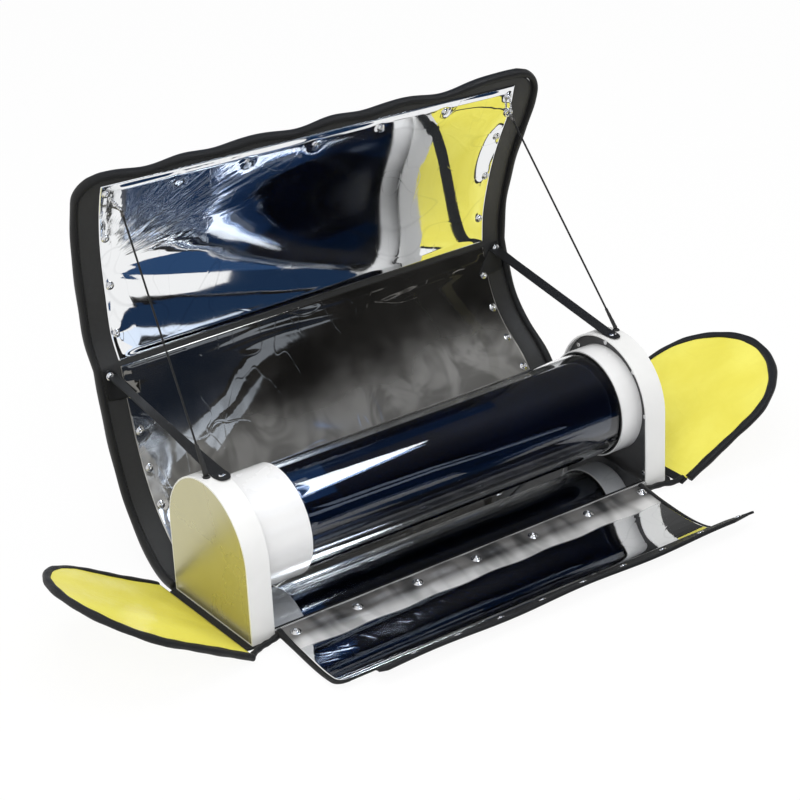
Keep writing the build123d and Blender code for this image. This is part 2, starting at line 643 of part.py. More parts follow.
def strap(x, lid_x):
    """Webbing strap from its tab on a housing to the lid's fold."""
    seat = HOUSING_TOP + SEAT
    half = STRAP_WIDTH / 2
    tab = block((x - half, ANCHOR_Y - STRAP_TAB, seat), (x + half, ANCHOR_Y, seat + STRAP_THICK))
    end = panel_point(LOWER_LID, lid_x, STRAP_SHARE, STRAP_THICK / 2 + SLIP + STRAP_LIFT)
    start = Vector(x, ANCHOR_Y, seat + STRAP_THICK / 2)
    run = end - start
    plane = Plane(origin=start, x_dir=(1, 0, 0), z_dir=run)
    free = plane * Box(STRAP_WIDTH, STRAP_THICK, run.length, align=(Align.CENTER, Align.CENTER, Align.MIN))
    return tab + free


def make_straps():
    left_x = LEFT_STRAP_INSET - HALF_LENGTH
    right_x = HALF_LENGTH - RIGHT_STRAP_INSET
    save("left_strap", strap(left_x, LEFT_STRAP_LID_INSET - HALF_LENGTH))
    save("right_strap", strap(right_x, HALF_LENGTH - RIGHT_STRAP_LID_INSET))
    head = upright(STRAP_RIVET_RADIUS, STRAP_RIVET_HEAD)
    y = ANCHOR_Y - STRAP_TAB / 2
    z = HOUSING_TOP + STRAP_THICK + 2 * SEAT
    save("strap_rivets", Pos(left_x, y, z) * head, Pos(right_x, y, z) * head)


def cord_ends(x, lid_x, share):
    """Lower and upper end of a stay cord: its sleeve's mouth and its clasp's lower face."""
    foot = Vector(x, ANCHOR_Y, HOUSING_TOP + SEAT + ANCHOR_HEIGHT)
    point, normal = panel_frame(UPPER_LID, lid_x, share)
    top = point + normal * (FILM_TOP + GROMMET_SEAT + GROMMET_HEIGHT + CLASP_RADIUS + SLIP)
    along = (top - foot).normalized()
    return foot, foot + along * SLEEVE_LENGTH, top - along * CLASP_LENGTH, top


def make_cords():
    sleeves, clasps, grommets = [], [], []
    cords = (
        ("left_stay_cord", LEFT_CORD_INSET - HALF_LENGTH, LEFT_CORD_LID_INSET - HALF_LENGTH),
        ("right_stay_cord", HALF_LENGTH - RIGHT_CORD_INSET, HALF_LENGTH - RIGHT_CORD_LID_INSET),
    )
    for name, x, lid_x in cords:
        foot, low, high, top = cord_ends(x, lid_x, CORD_SHARE)
        save(name, straight_rod(low, high, CORD_RADIUS))
        print(name, "length", round((high - low).length, 1), "radius", CORD_RADIUS)
        seat = HOUSING_TOP + SEAT
        anchor = Pos(x, ANCHOR_Y, seat) * upright(ANCHOR_RADIUS, ANCHOR_HEIGHT)
        sleeve = straight_rod(foot, low, SLEEVE_RADIUS)
        reach = 2 * SLEEVE_LENGTH
        below = block((x - reach, ANCHOR_Y - reach, seat - reach), (x + reach, ANCHOR_Y + reach, seat))
        sleeves.append(anchor + sleeve - below)
        clasps.append(straight_rod(high, top, CLASP_RADIUS))
        grommets.append(grommet(lid_x, CORD_SHARE))
    save("cord_sleeves", *sleeves)
    save("cord_clasps", *clasps)
    save("corner_grommets", *grommets)


make_base()
make_housings()
make_collars()
make_tube()
make_tray()
make_lid()
make_front_flap()
make_side_flaps()
make_straps()
make_cords()
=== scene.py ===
import json
from math import atan2, cos, pi, radians, sin, tau

import bmesh
import bpy
import numpy as np
from mathutils import Matrix, Vector


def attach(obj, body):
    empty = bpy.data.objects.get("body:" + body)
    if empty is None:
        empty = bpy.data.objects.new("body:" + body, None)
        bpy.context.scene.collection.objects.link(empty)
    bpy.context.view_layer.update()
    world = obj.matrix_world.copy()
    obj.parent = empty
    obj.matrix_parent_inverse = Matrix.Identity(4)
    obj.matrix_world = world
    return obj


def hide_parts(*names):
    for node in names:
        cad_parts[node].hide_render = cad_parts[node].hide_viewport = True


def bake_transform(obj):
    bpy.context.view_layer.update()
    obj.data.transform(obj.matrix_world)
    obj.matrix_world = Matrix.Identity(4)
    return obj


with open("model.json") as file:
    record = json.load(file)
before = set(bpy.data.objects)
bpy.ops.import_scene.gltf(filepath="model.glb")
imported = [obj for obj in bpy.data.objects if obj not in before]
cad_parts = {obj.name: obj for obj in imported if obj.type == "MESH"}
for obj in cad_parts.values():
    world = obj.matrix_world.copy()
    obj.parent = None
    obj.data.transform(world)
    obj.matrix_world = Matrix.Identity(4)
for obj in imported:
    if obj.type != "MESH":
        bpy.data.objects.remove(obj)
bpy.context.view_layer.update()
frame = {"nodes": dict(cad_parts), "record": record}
nodes = frame["nodes"]

# Lengths are in millimetres unless a comment says metres, and meshes are written in metres.
MM = 0.001
HALF_LENGTH = 280.0
HALF_DEPTH = 76.0
HOUSING_TOP = 165.0
AXIS_X = (1, 0, 0)


# Camera

VIEW_ANGLES = (-0.601, 0.460, -0.048)
VIEW_TARGET = (0, -1, 83)
VIEW_DISTANCE = 2807.552
VIEW_SHIFT = (28.171, 75.959)
LENS = 115.55


def make_camera():
    """The photograph's view, found from the edges of the base and the tube."""
    azimuth, elevation, roll = VIEW_ANGLES
    back = Vector((
        sin(azimuth) * cos(elevation),
        -cos(azimuth) * cos(elevation),
        sin(elevation),
    ))
    level_right = back.cross(Vector((0, 0, 1))).normalized() * -1
    level_up = back.cross(level_right)
    right = level_right * cos(roll) + level_up * sin(roll)
    up = level_up * cos(roll) - level_right * sin(roll)
    place = Vector(VIEW_TARGET) + back * VIEW_DISTANCE - right * VIEW_SHIFT[0] + up * VIEW_SHIFT[1]
    data = bpy.data.cameras.new("camera")
    data.lens = LENS
    data.sensor_width = 36
    data.clip_start = 0.1
    data.clip_end = 100
    camera = bpy.data.objects.new("camera", data)
    turn = Matrix((right, up, back)).transposed()
    camera.matrix_world = Matrix.Translation(place * MM) @ turn.to_4x4()
    bpy.context.scene.collection.objects.link(camera)
    bpy.context.scene.camera = camera


make_camera()


# Curves and surfaces

def unit(rows):
    return rows / np.linalg.norm(rows, axis=-1, keepdims=True)


def run_of(line):
    """Length along a line at each of its points."""
    return np.concatenate([[0], np.cumsum(np.linalg.norm(np.diff(line, axis=0), axis=1))])


def eased(share):
    """A share from 0 to 1 with soft ends."""
    return share ** 2 * (3 - 2 * share)


def grid(columns, rows, across=(0, 1), up=(0, 1)):
    """Grids of the values across and up, at even steps."""
    return np.meshgrid(np.linspace(*across, columns), np.linspace(*up, rows))


def natural_spline(points, count=400):
    """Points of a smooth curve through the given ones, at even steps of its length."""
    points = np.array(points, float)
    knots = run_of(points)
    steps = np.diff(knots)
    n = len(points)
    matrix = np.eye(n)
    right = np.zeros_like(points)
    for i in range(1, n - 1):
        before, after = steps[i - 1], steps[i]
        matrix[i, i - 1:i + 2] = before, 2 * (before + after), after
        slope_after = (points[i + 1] - points[i]) / after
        slope_before = (points[i] - points[i - 1]) / before
        right[i] = 6 * (slope_after - slope_before)
    second = np.linalg.solve(matrix, right)
    at = np.linspace(0, knots[-1], count)
    cell = np.clip(np.searchsorted(knots, at, side="right") - 1, 0, n - 2)
    width = steps[cell]
    a = (knots[cell + 1] - at) / width
    b = (at - knots[cell]) / width
    cubic = (a ** 3 - a)[:, None] * second[cell] + (b ** 3 - b)[:, None] * second[cell + 1]
    line = a[:, None] * points[cell] + b[:, None] * points[cell + 1]
    line += cubic * (width ** 2 / 6)[:, None]
    return even(line, count)


def even(line, count):
    """The same line at even steps of its length."""
    run = run_of(line)
    at = np.linspace(0, run[-1], count)
    return np.stack([np.interp(at, run, line[:, k]) for k in range(line.shape[1])], axis=1)


def line_length(line):
    return float(np.linalg.norm(np.diff(line, axis=0), axis=1).sum())


class Surface:
    def place(self, x, t, height):
        """Points at a height above the surface, towards the inside."""
        return self.point(x, t) + self.normal(x, t) * np.asarray(height)[..., None]


class Panel(Surface):
    """Fabric panel ruled between its left and right edge curves. side is 1 where the inside faces -Y."""

    def __init__(self, left, right, side):
        self.left = natural_spline(left)
        self.right = natural_spline(right)
        self.side = side
        self.length = (line_length(self.left) + line_length(self.right)) / 2

    def point(self, x, t):
        """Points at x in mm and t as a share of the edge curve. Values past 0 or 1 run on straight."""
        x, t = np.broadcast_arrays(np.asarray(x, float), np.asarray(t, float))
        share = (x + HALF_LENGTH) / (2 * HALF_LENGTH)
        out = np.empty(x.shape + (3,))
        out[..., 0] = x
        grid = np.linspace(0, 1, len(self.left))
        for k in (0, 1):
            ends = []
            for line in (self.left, self.right):
                inside = np.interp(t, grid, line[:, k])
                first = (line[1, k] - line[0, k]) / grid[1]
                last = (line[-1, k] - line[-2, k]) / grid[1]
                inside = inside + np.minimum(t, 0) * first + np.maximum(t - 1, 0) * last
                ends.append(inside)
            out[..., k + 1] = ends[0] * (1 - share) + ends[1] * share
        return out

    def normal(self, x, t):
        """Unit normals towards the inside."""
        x, t, step = np.asarray(x), np.asarray(t), 0.004
        along = self.point(x, t + step) - self.point(x, t - step)
        across = self.point(x + 1, t) - self.point(x - 1, t)
        return unit(np.cross(across, along) * self.side)


def behind(points, depth):
    """(y, z) points of a panel edge from (distance from a long edge of the base, height) pairs."""
    return [(depth + y if depth > 0 else depth - y, z) for y, z in points]


LOWER = Panel(
    behind([(2.8, 5.5), (29, 8.5), (57, 28), (84, 61), (106, 112), (120, 166), (130, 215)], HALF_DEPTH),
    behind([(2.8, 5.5), (26, 27), (46, 58), (70, 90), (105, 118), (133, 160), (146, 208)], HALF_DEPTH),
    1,
)
UPPER = Panel(
    behind([(130, 215), (143, 240), (149, 285), (152, 330), (149, 375), (141, 408), (133, 428)], HALF_DEPTH),
    behind([(146, 208), (142, 247), (131, 287), (116, 327), (98, 363), (79, 402), (69, 437)], HALF_DEPTH),
    1,
)
FLAP_CURVE = behind(
    [(1.6, 11), (24, 8.2), (50, 5.6), (77, 3.8), (103, 4.6), (126, 10), (138, 16)], -HALF_DEPTH
)
FLAP = Panel(FLAP_CURVE, FLAP_CURVE, -1)


class Lid(Surface):
    """Both lid panels as one surface: u from 0 at the root to 1 at the fold and 2 at the top edge."""

    length = LOWER.length + UPPER.length

    def point(self, x, u):
        u = np.asarray(u, float)
        low = LOWER.point(x, np.minimum(u, 1))
        high = UPPER.point(x, np.maximum(u, 1) - 1)
        return np.where((u < 1)[..., None], low, high)

    def normal(self, x, u):
        x, u, step = np.asarray(x), np.asarray(u), 0.03
        along = self.point(x, u + step) - self.point(x, np.maximum(u - step, 0))
        across = self.point(x + 1, u) - self.point(x - 1, u)
        return unit(np.cross(across, along))


LID = Lid()


# Meshes

def add_mesh(name, points, faces, slot, looks=None, cut=None):
    """New object in its slot's finish or the looks given. cut holds each point's place on the flat cloth."""
    mesh = bpy.data.meshes.new(name)
    mesh.from_pydata((np.asarray(points) * MM).tolist(), [], [list(map(int, f)) for f in faces])
    mesh.validate()
    mesh.shade_smooth()
    if cut is not None:
        flat = np.zeros((len(mesh.vertices), 3), np.float32)
        flat[:, :2] = np.asarray(cut)[:, :2]
        layer = mesh.attributes.new("cloth", "FLOAT_VECTOR", "POINT")
        layer.data.foreach_set("vector", (flat * MM).ravel())
    for look in looks or [LOOK[slot]]:
        mesh.materials.append(look)
    made = bpy.data.objects.new(name, mesh)
    bpy.context.scene.collection.objects.link(made)
    return made


def grid_faces(rows, columns, start=0, flip=False, close=False):
    """Faces of a rows by columns grid of points. close joins the last column to the first."""
    i, j = np.meshgrid(np.arange(rows - 1), np.arange(columns if close else columns - 1), indexing="ij")
    k = (j + 1) % columns
    quad = np.stack([i * columns + j, i * columns + k, (i + 1) * columns + k, (i + 1) * columns + j], -1)
    quad = quad.reshape(-1, 4) + start
    return quad[:, ::-1] if flip else quad


def rim_loop(rows, columns):
    """Indices round the edge of a grid."""
    top = list(range(columns))
    right = [i * columns + columns - 1 for i in range(1, rows)]
    bottom = [(rows - 1) * columns + j for j in range(columns - 2, -1, -1)]
    left = [i * columns for i in range(rows - 2, 0, -1)]
    return top + right + bottom + left


def sheet_mesh(name, front, back, slot, cut, looks=None, back_look=0):
    """Closed sheet between a front and a back grid of points. back_look is the index of the back's finish."""
    rows, columns = front.shape[:2]
    count = rows * columns
    points = np.concatenate([front.reshape(-1, 3), back.reshape(-1, 3)])
    a = grid_faces(rows, columns)
    b = grid_faces(rows, columns, count, flip=True)
    loop = rim_loop(rows, columns)
    rim = []
    for p, q in zip(loop, loop[1:] + loop[:1]):
        rim.append([q, p, p + count, q + count])
    faces = np.concatenate([a, b, np.array(rim)])
    cut = np.concatenate([cut.reshape(-1, cut.shape[-1])] * 2)
    made = add_mesh(name, points, faces, slot, looks, cut)
    if back_look:
        index = np.zeros(len(made.data.polygons), np.int32)
        index[len(a):] = back_look
        made.data.polygons.foreach_set("material_index", index)
    return made


def fix_normals(made):
    """Turns every face outwards."""
    mesh = bmesh.new()
    mesh.from_mesh(made.data)
    bmesh.ops.recalc_face_normals(mesh, faces=mesh.faces)
    mesh.to_mesh(made.data)
    mesh.free()
    return made


def tube_mesh(name, path, side, section, slot, closed=False, scale=None):
    """Bar swept along a path. section holds (across, along side) points, side is one vector or one for each
    point of the path, and scale sizes the section at each point, alike or (across, along side)."""
    path = np.asarray(path, float)
    if closed:
        tangent = np.roll(path, -1, axis=0) - np.roll(path, 1, axis=0)
    else:
        tangent = np.gradient(path, axis=0)
    tangent = unit(tangent)
    side = np.asarray(side, float)
    side = unit(side - (side * tangent).sum(1)[:, None] * tangent)
    across = np.cross(tangent, side)
    section = np.asarray(section, float)
    factor = np.ones((len(path), 1)) if scale is None else np.asarray(scale).reshape(len(path), -1)
    factor = np.broadcast_to(factor, (len(path), 2))
    rings = (
        path[:, None]
        + across[:, None] * (section[None, :, 0] * factor[:, :1])[..., None]
        + side[:, None] * (section[None, :, 1] * factor[:, 1:])[..., None]
    )
    rows, columns = rings.shape[:2]
    points = rings.reshape(-1, 3)
    faces = [list(f) for f in grid_faces(rows, columns, close=True)]
    if closed:
        last = (rows - 1) * columns
        faces += [[last + j, last + (j + 1) % columns, (j + 1) % columns, j] for j in range(columns)]
    else:
        faces.append(list(range(columns))[::-1])
        faces.append([(rows - 1) * columns + j for j in range(columns)])
    cut = np.stack(np.meshgrid(run_of(path), run_of(section), indexing="ij"), -1).reshape(-1, 2)
    return fix_normals(add_mesh(name, points, faces, slot, cut=cut))


def oval(width, thickness, count=16, power=2.4):
    """Rounded section of a soft binding, width across and thickness through the panel."""
    angle = np.arange(count) / count * tau
    c, s = np.cos(angle), np.sin(angle)
    return np.stack([
        np.sign(c) * np.abs(c) ** (2 / power) * width / 2,
        np.sign(s) * np.abs(s) ** (2 / power) * thickness / 2,
    ], 1)


def lathe_points(profile, count=20):
    """Points and faces of a shape turned about Z, from (radius, height) pairs that start and end at Z."""
    points, faces = [(0, 0, profile[0][1])], []
    for radius, height in profile[1:-1]:
        for k in range(count):
            a = k / count * tau
            points.append((radius * cos(a), radius * sin(a), height))
    points.append((0, 0, profile[-1][1]))
    rings = len(profile) - 2
    for k in range(count):
        n = (k + 1) % count
        faces.append([0, 1 + n, 1 + k])
        for r in range(rings - 1):
            a, b = 1 + r * count, 1 + (r + 1) * count
            faces.append([a + k, a + n, b + n, b + k])
        a = 1 + (rings - 1) * count
        faces.append([a + k, a + n, len(points) - 1])
    return np.array(points, float), faces


def ring_shape(radius, bar, flat=1.0, count=24, around=10):
    """Points and faces of a ring about Z. flat is the bar's thickness as a share of its width."""
    points, faces = [], []
    for k in range(count):
        for m in range(around):
            a, b = k / count * tau, m / around * tau
            reach = radius + bar * cos(b)
            points.append((reach * cos(a), reach * sin(a), bar * flat * sin(b)))
            k_next, m_next = (k + 1) % count * around, (m + 1) % around
            faces.append([k * around + m, k * around + m_next, k_next + m_next, k_next + m])
    return np.array(points), faces


def ball_shape(radius, steps=8):
    turns = [k / steps * pi for k in range(steps + 1)]
    profile = [(radius * sin(a), -radius * cos(a)) for a in turns]
    return lathe_points(profile, 12)


def scatter(name, shape, places, slot):
    """One object of the same small shape set at many places, each a point and a normal."""
    shape_points, shape_faces = shape
    points, faces = [], []
    for place, normal in places:
        normal = Vector(normal).normalized()
        turn = np.array(normal.to_track_quat("Z", "Y").to_matrix())
        start = len(points) * len(shape_points)
        points.append(shape_points @ turn.T + np.array(place))
        faces += [[start + k for k in f] for f in shape_faces]
    return fix_normals(add_mesh(name, np.concatenate(points), faces, slot))


def scaled(shape, *factors):
    return shape[0] * np.array(factors), shape[1]


def fasten(name, shape, places, slot, body, *replaced):
    """Small parts set on one body, in place of the CAD nodes named."""
    made = scatter(name, shape, places, slot)
    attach(made, body)
    if replaced:
        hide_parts(*replaced)


# Materials

def new_group(name, inputs, outputs):
    """Shader node group with named sockets. Returns the tree, its input node and its output node."""
    tree = bpy.data.node_groups.new(name, "ShaderNodeTree")
    kinds = {"value": "NodeSocketFloat", "color": "NodeSocketColor", "vector": "NodeSocketVector"}
    for label, kind, default in inputs:
        socket = tree.interface.new_socket(label, in_out="INPUT", socket_type=kinds[kind])
        socket.default_value = default
    for label, kind in outputs:
        tree.interface.new_socket(label, in_out="OUTPUT", socket_type=kinds[kind])
    return tree, tree.nodes.new("NodeGroupInput"), tree.nodes.new("NodeGroupOutput")


class Net:
    """Short calls for the nodes and links of one node tree."""

    def __init__(self, tree):
        self.tree = tree

    def node(self, kind, **settings):
        made = self.tree.nodes.new(kind)
        for key, value in settings.items():
            setattr(made, key, value)
        return made

    def link(self, source, target):
        if isinstance(source, bpy.types.NodeSocket):
            self.tree.links.new(source, target)
        else:
            target.default_value = source

    def math(self, operation, a, b=0.0):
        made = self.node("ShaderNodeMath", operation=operation)
        self.link(a, made.inputs[0])
        self.link(b, made.inputs[1])
        return made.outputs[0]

    def mix(self, factor, a, b):
        """Colour between a and b, each an output or (red, green, blue)."""
        made = self.node("ShaderNodeMix", data_type="RGBA")
        self.link(factor, made.inputs[0])
        for socket, color in zip(made.inputs[6:8], (a, b)):
            self.link(color if isinstance(color, bpy.types.NodeSocket) else (*color, 1), socket)
        return made.outputs[2]

    def noise(self, vector, scale, detail=3.0, rough=0.55, distortion=0.0):
        made = self.node("ShaderNodeTexNoise")
        self.link(vector, made.inputs["Vector"])
        self.link(scale, made.inputs["Scale"])
        self.link(detail, made.inputs["Detail"])
        self.link(rough, made.inputs["Roughness"])
        self.link(distortion, made.inputs["Distortion"])
        return made.outputs["Fac"]

    def ramp(self, value, low, high, start=0.0, end=1.0):
        made = self.node("ShaderNodeMapRange")
        made.interpolation_type = "SMOOTHSTEP"
        for socket, v in zip(made.inputs[:5], (value, low, high, start, end)):
            self.link(v, socket)
        return made.outputs[0]

    def split(self, vector):
        made = self.node("ShaderNodeSeparateXYZ")
        self.link(vector, made.inputs[0])
        return made.outputs

    def bump(self, height, strength, distance, normal=None):
        made = self.node("ShaderNodeBump")
        made.inputs["Strength"].default_value = strength
        made.inputs["Distance"].default_value = distance
        self.link(height, made.inputs["Height"])
        if normal:
            self.link(normal, made.inputs["Normal"])
        return made.outputs["Normal"]

    def stretched(self, vector, scale, start=(0, 0, 0)):
        made = self.node("ShaderNodeMapping")
        self.link(vector, made.inputs["Vector"])
        made.inputs["Scale"].default_value = scale
        made.inputs["Location"].default_value = start
        return made.outputs[0]


def weave_group():
    """Plain weave: raised threads over and under, in the cloth's own place in metres."""
    tree, given, out = new_group(
        "plain_weave",
        [("Vector", "vector", (0, 0, 0)), ("Pitch", "value", 0.0008)],
        [("Height", "value"), ("Thread", "value")],
    )
    n = Net(tree)
    parts = n.split(given.outputs["Vector"])
    waves = []
    for axis in (0, 1):
        turns = n.math("DIVIDE", parts[axis], given.outputs["Pitch"])
        waves.append(n.math("SINE", n.math("MULTIPLY", turns, pi)))
    warp = n.math("ABSOLUTE", waves[0])
    weft = n.math("ABSOLUTE", waves[1])
    sign = n.math("MULTIPLY", waves[0], waves[1])
    over = n.ramp(sign, -0.2, 0.2)
    under = n.math("SUBTRACT", 1.0, over)
    height = n.math("ADD", n.math("MULTIPLY", warp, over), n.math("MULTIPLY", weft, under))
    tree.links.new(height, out.inputs["Height"])
    tree.links.new(over, out.inputs["Thread"])
    return tree


def mottle_group():
    """Soft cloudy variation, as of handling and dust, for colour and roughness."""
    tree, given, out = new_group(
        "handled_surface",
        [("Vector", "vector", (0, 0, 0)), ("Scale", "value", 6.0), ("Fine", "value", 60.0)],
        [("Cloud", "value"), ("Grain", "value")],
    )
    n = Net(tree)
    cloud = n.noise(given.outputs["Vector"], given.outputs["Scale"], 4.0, 0.6, 0.4)
    grain = n.noise(given.outputs["Vector"], given.outputs["Fine"], 3.0, 0.7)
    tree.links.new(n.ramp(cloud, 0.3, 0.7), out.inputs["Cloud"])
    tree.links.new(grain, out.inputs["Grain"])
    return tree


def crinkle_group():
    """Fine creases of a thin film or coated cloth: long wandering ridges, and soft dents between them."""
    tree, given, out = new_group(
        "fine_creases",
        [("Vector", "vector", (0, 0, 0)), ("Scale", "value", 9.0), ("Sharp", "value", 0.04),
         ("Crease", "value", 0.25)],
        [("Height", "value"), ("Ridge", "value")],
    )
    n = Net(tree)
    place = given.outputs["Vector"]
    ridges = []
    for factor, detail, stretch in ((1.0, 1.0, (1.0, 1.6, 1.6)), (2.3, 0.0, (1.7, 0.8, 0.8))):
        mapped = n.stretched(place, stretch, (factor, 3 * factor, 0))
        field = n.noise(mapped, n.math("MULTIPLY", given.outputs["Scale"], factor), detail, 0.4, 0.5)
        away = n.math("ABSOLUTE", n.math("SUBTRACT", field, 0.5))
        ridges.append(n.math("SUBTRACT", 1.0, n.ramp(away, 0.0, given.outputs["Sharp"])))
    ridge = n.math("MAXIMUM", ridges[0], n.math("MULTIPLY", ridges[1], 0.6))
    dent = n.noise(place, 22.0, 3.0, 0.5, 0.6)
    raised = n.math("MULTIPLY", ridge, given.outputs["Crease"])
    tree.links.new(n.math("ADD", raised, dent), out.inputs["Height"])
    tree.links.new(ridge, out.inputs["Ridge"])
    return tree


def pull_group():
    """Fine straight folds that spread from one pulled point of a film and die away from it."""
    tree, given, out = new_group(
        "pulled_folds",
        [("Vector", "vector", (0, 0, 0)), ("Across", "value", 0.0), ("Up", "value", 0.0),
         ("Reach", "value", 0.3)],
        [("Height", "value")],
    )
    n = Net(tree)
    place = n.split(given.outputs["Vector"])
    across = n.math("SUBTRACT", place[0], given.outputs["Across"])
    up = n.math("SUBTRACT", place[1], given.outputs["Up"])
    far = n.math("SQRT", n.math("ADD", n.math("MULTIPLY", across, across), n.math("MULTIPLY", up, up)))
    angle = n.math("ARCTAN2", up, across)
    polar = n.node("ShaderNodeCombineXYZ")
    n.link(n.math("MULTIPLY", angle, 11.0), polar.inputs[0])
    n.link(n.math("MULTIPLY", far, 3.0), polar.inputs[1])
    folds = n.noise(polar.outputs[0], 1.0, 2.5, 0.6)
    near = n.math("MULTIPLY", n.ramp(far, 0.0, 0.05), n.ramp(angle, -0.02, 0.30))
    fade = n.ramp(n.math("DIVIDE", far, given.outputs["Reach"]), 0.25, 1.0, 1.0, 0.0)
    tree.links.new(n.math("MULTIPLY", n.math("MULTIPLY", folds, near), fade), out.inputs["Height"])
    return tree


WEAVE = weave_group()
MOTTLE = mottle_group()
CRINKLE = crinkle_group()
PULL = pull_group()


def material(name, color, roughness, metallic=0.0, **plain):
    """New material. plain sets the shader's own sockets."""
    made = bpy.data.materials.new(name)
    made.use_nodes = True
    tree = made.node_tree
    shader = tree.nodes["Principled BSDF"]
    shader.inputs["Base Color"].default_value = (*color, 1)
    shader.inputs["Roughness"].default_value = roughness
    shader.inputs["Metallic"].default_value = metallic
    for key, value in plain.items():
        shader.inputs[key.replace("_", " ")].default_value = value
    return made, Net(tree), shader


def place_group(net, group, vector, **values):
    made = net.node("ShaderNodeGroup", node_tree=group)
    net.link(vector, made.inputs["Vector"])
    for key, value in values.items():
        made.inputs[key].default_value = value
    return made.outputs


def cloth_place(net):
    """Place on the flat cloth, in metres."""
    return net.node("ShaderNodeAttribute", attribute_name="cloth").outputs["Vector"]


def object_place(net):
    return net.node("ShaderNodeTexCoord").outputs["Object"]


def vary_roughness(net, shader, mask, low, high):
    net.link(net.ramp(mask, 0.0, 1.0, low, high), shader.inputs["Roughness"])


def paint(net, shader, color):
    net.link(color, shader.inputs["Base Color"])


def woven(name, dark, light, roughness, pitch, depth, sheen, shine=0.35):
    """Woven cloth between two colours. pitch and depth of its threads are in metres."""
    made, net, shader = material(
        name, dark, roughness, Sheen_Weight=sheen, Sheen_Roughness=0.5, Specular_IOR_Level=shine
    )
    weave = place_group(net, WEAVE, cloth_place(net), Pitch=pitch)
    spots = place_group(net, MOTTLE, object_place(net), Scale=9.0, Fine=260.0)
    shade = net.math("MULTIPLY", weave["Height"], net.ramp(spots["Grain"], 0.3, 0.7, 0.5, 1.0))
    paint(net, shader, net.mix(shade, dark, light))
    vary_roughness(net, shader, spots["Cloud"], roughness - 0.08, roughness + 0.08)
    net.link(net.bump(weave["Height"], 0.6, depth), shader.inputs["Normal"])
    return made


def clouded(name, dark, light, rough, cloud, fine, grain=None, metallic=0.0, **plain):
    """Finish that varies softly between two colours and two values of roughness. cloud and fine are the
    scales of its cloud and its grain, and grain holds the grain's strength and depth in metres."""
    middle = [(a + b) / 2 for a, b in zip(dark, light)]
    made, net, shader = material(name, middle, sum(rough) / 2, metallic, **plain)
    spots = place_group(net, MOTTLE, object_place(net), Scale=cloud, Fine=fine)
    paint(net, shader, net.mix(spots["Cloud"], dark, light))
    vary_roughness(net, shader, spots["Cloud"], *rough)
    if grain:
        net.link(net.bump(spots["Grain"], *grain), shader.inputs["Normal"])
    return made


def yellow_coated():
    """Coated yellow bag cloth: glossy in the creases, a faint weave under the coat."""
    made, net, shader = material(
        "yellow_coated_cloth", (0.90, 0.80, 0.10), 0.38, Coat_Weight=0.15, Coat_Roughness=0.25
    )
    spots = place_group(net, MOTTLE, object_place(net), Scale=14.0, Fine=300.0)
    creases = place_group(net, CRINKLE, object_place(net), Scale=9.0, Sharp=0.05)
    paint(net, shader, net.mix(spots["Cloud"], (0.86, 0.77, 0.08), (0.93, 0.86, 0.13)))
    vary_roughness(net, shader, spots["Grain"], 0.28, 0.50)
    weave = place_group(net, WEAVE, cloth_place(net), Pitch=0.0007)
    height = net.math("ADD", creases["Height"], net.math("MULTIPLY", weave["Height"], 0.04))
    net.link(net.bump(height, 0.35, 0.002), shader.inputs["Normal"])
    return made


def silvered(name, dents, crease=0.25):
    """Silvered polyester film, with creases and fine dents. Returns the material, its net and its shader."""
    made, net, shader = material(name, (0.86, 0.87, 0.88), 0.04, metallic=1.0)
    spots = place_group(net, MOTTLE, object_place(net), Scale=10.0, Fine=220.0)
    creases = place_group(net, CRINKLE, object_place(net), Scale=8.0, Sharp=0.012, Crease=crease)
    paint(net, shader, net.mix(creases["Ridge"], (0.86, 0.87, 0.88), (0.78, 0.79, 0.80)))
    vary_roughness(net, shader, spots["Cloud"], 0.015, 0.06)
    net.link(net.bump(creases["Height"], dents, 0.002), shader.inputs["Normal"])
    return made, net, shader


def pulled_film():
    """The upper panel's film, pulled into fine folds from the middle of its left edge."""
    made, net, shader = silvered("upper_silvered_film", 0.02)
    folds = place_group(net, PULL, cloth_place(net), Across=-0.262, Up=0.115, Reach=0.36)["Height"]
    creased = shader.inputs["Normal"].links[0].from_socket
    net.link(net.bump(folds, 0.045, 0.004, creased), shader.inputs["Normal"])
    return made


def shaded_film():
    """The lower panel's film: dusty and grey up from the root, with painted shade that darkens it towards the
    fold, where it is also cleaner and more metallic.
    """
    made, net, shader = silvered("lower_silvered_film", 0.05, 0.5)
    place = net.split(cloth_place(net))
    cloud = net.noise(object_place(net), 9.0, 3.0, 0.6)
    swirls = net.ramp(net.noise(object_place(net), 17.0, 2.0, 0.55, 1.4), 0.36, 0.62)
    rise = net.math("ADD", place[1], net.math("MULTIPLY", cloud, 0.07))
    fold_shade = net.ramp(rise, 0.15, 0.245)
    dust = net.mix(swirls, (0.34, 0.335, 0.325), (0.60, 0.595, 0.58))
    # painted shade: the film's colour goes dark towards the fold
    paint(net, shader, net.mix(fold_shade, dust, (0.17, 0.165, 0.155)))
    clean = net.ramp(fold_shade, 0.0, 1.0, 0.64, 0.93)
    net.link(net.math("ADD", clean, net.ramp(cloud, 0.3, 0.7, -0.04, 0.04)), shader.inputs["Metallic"])
    return made


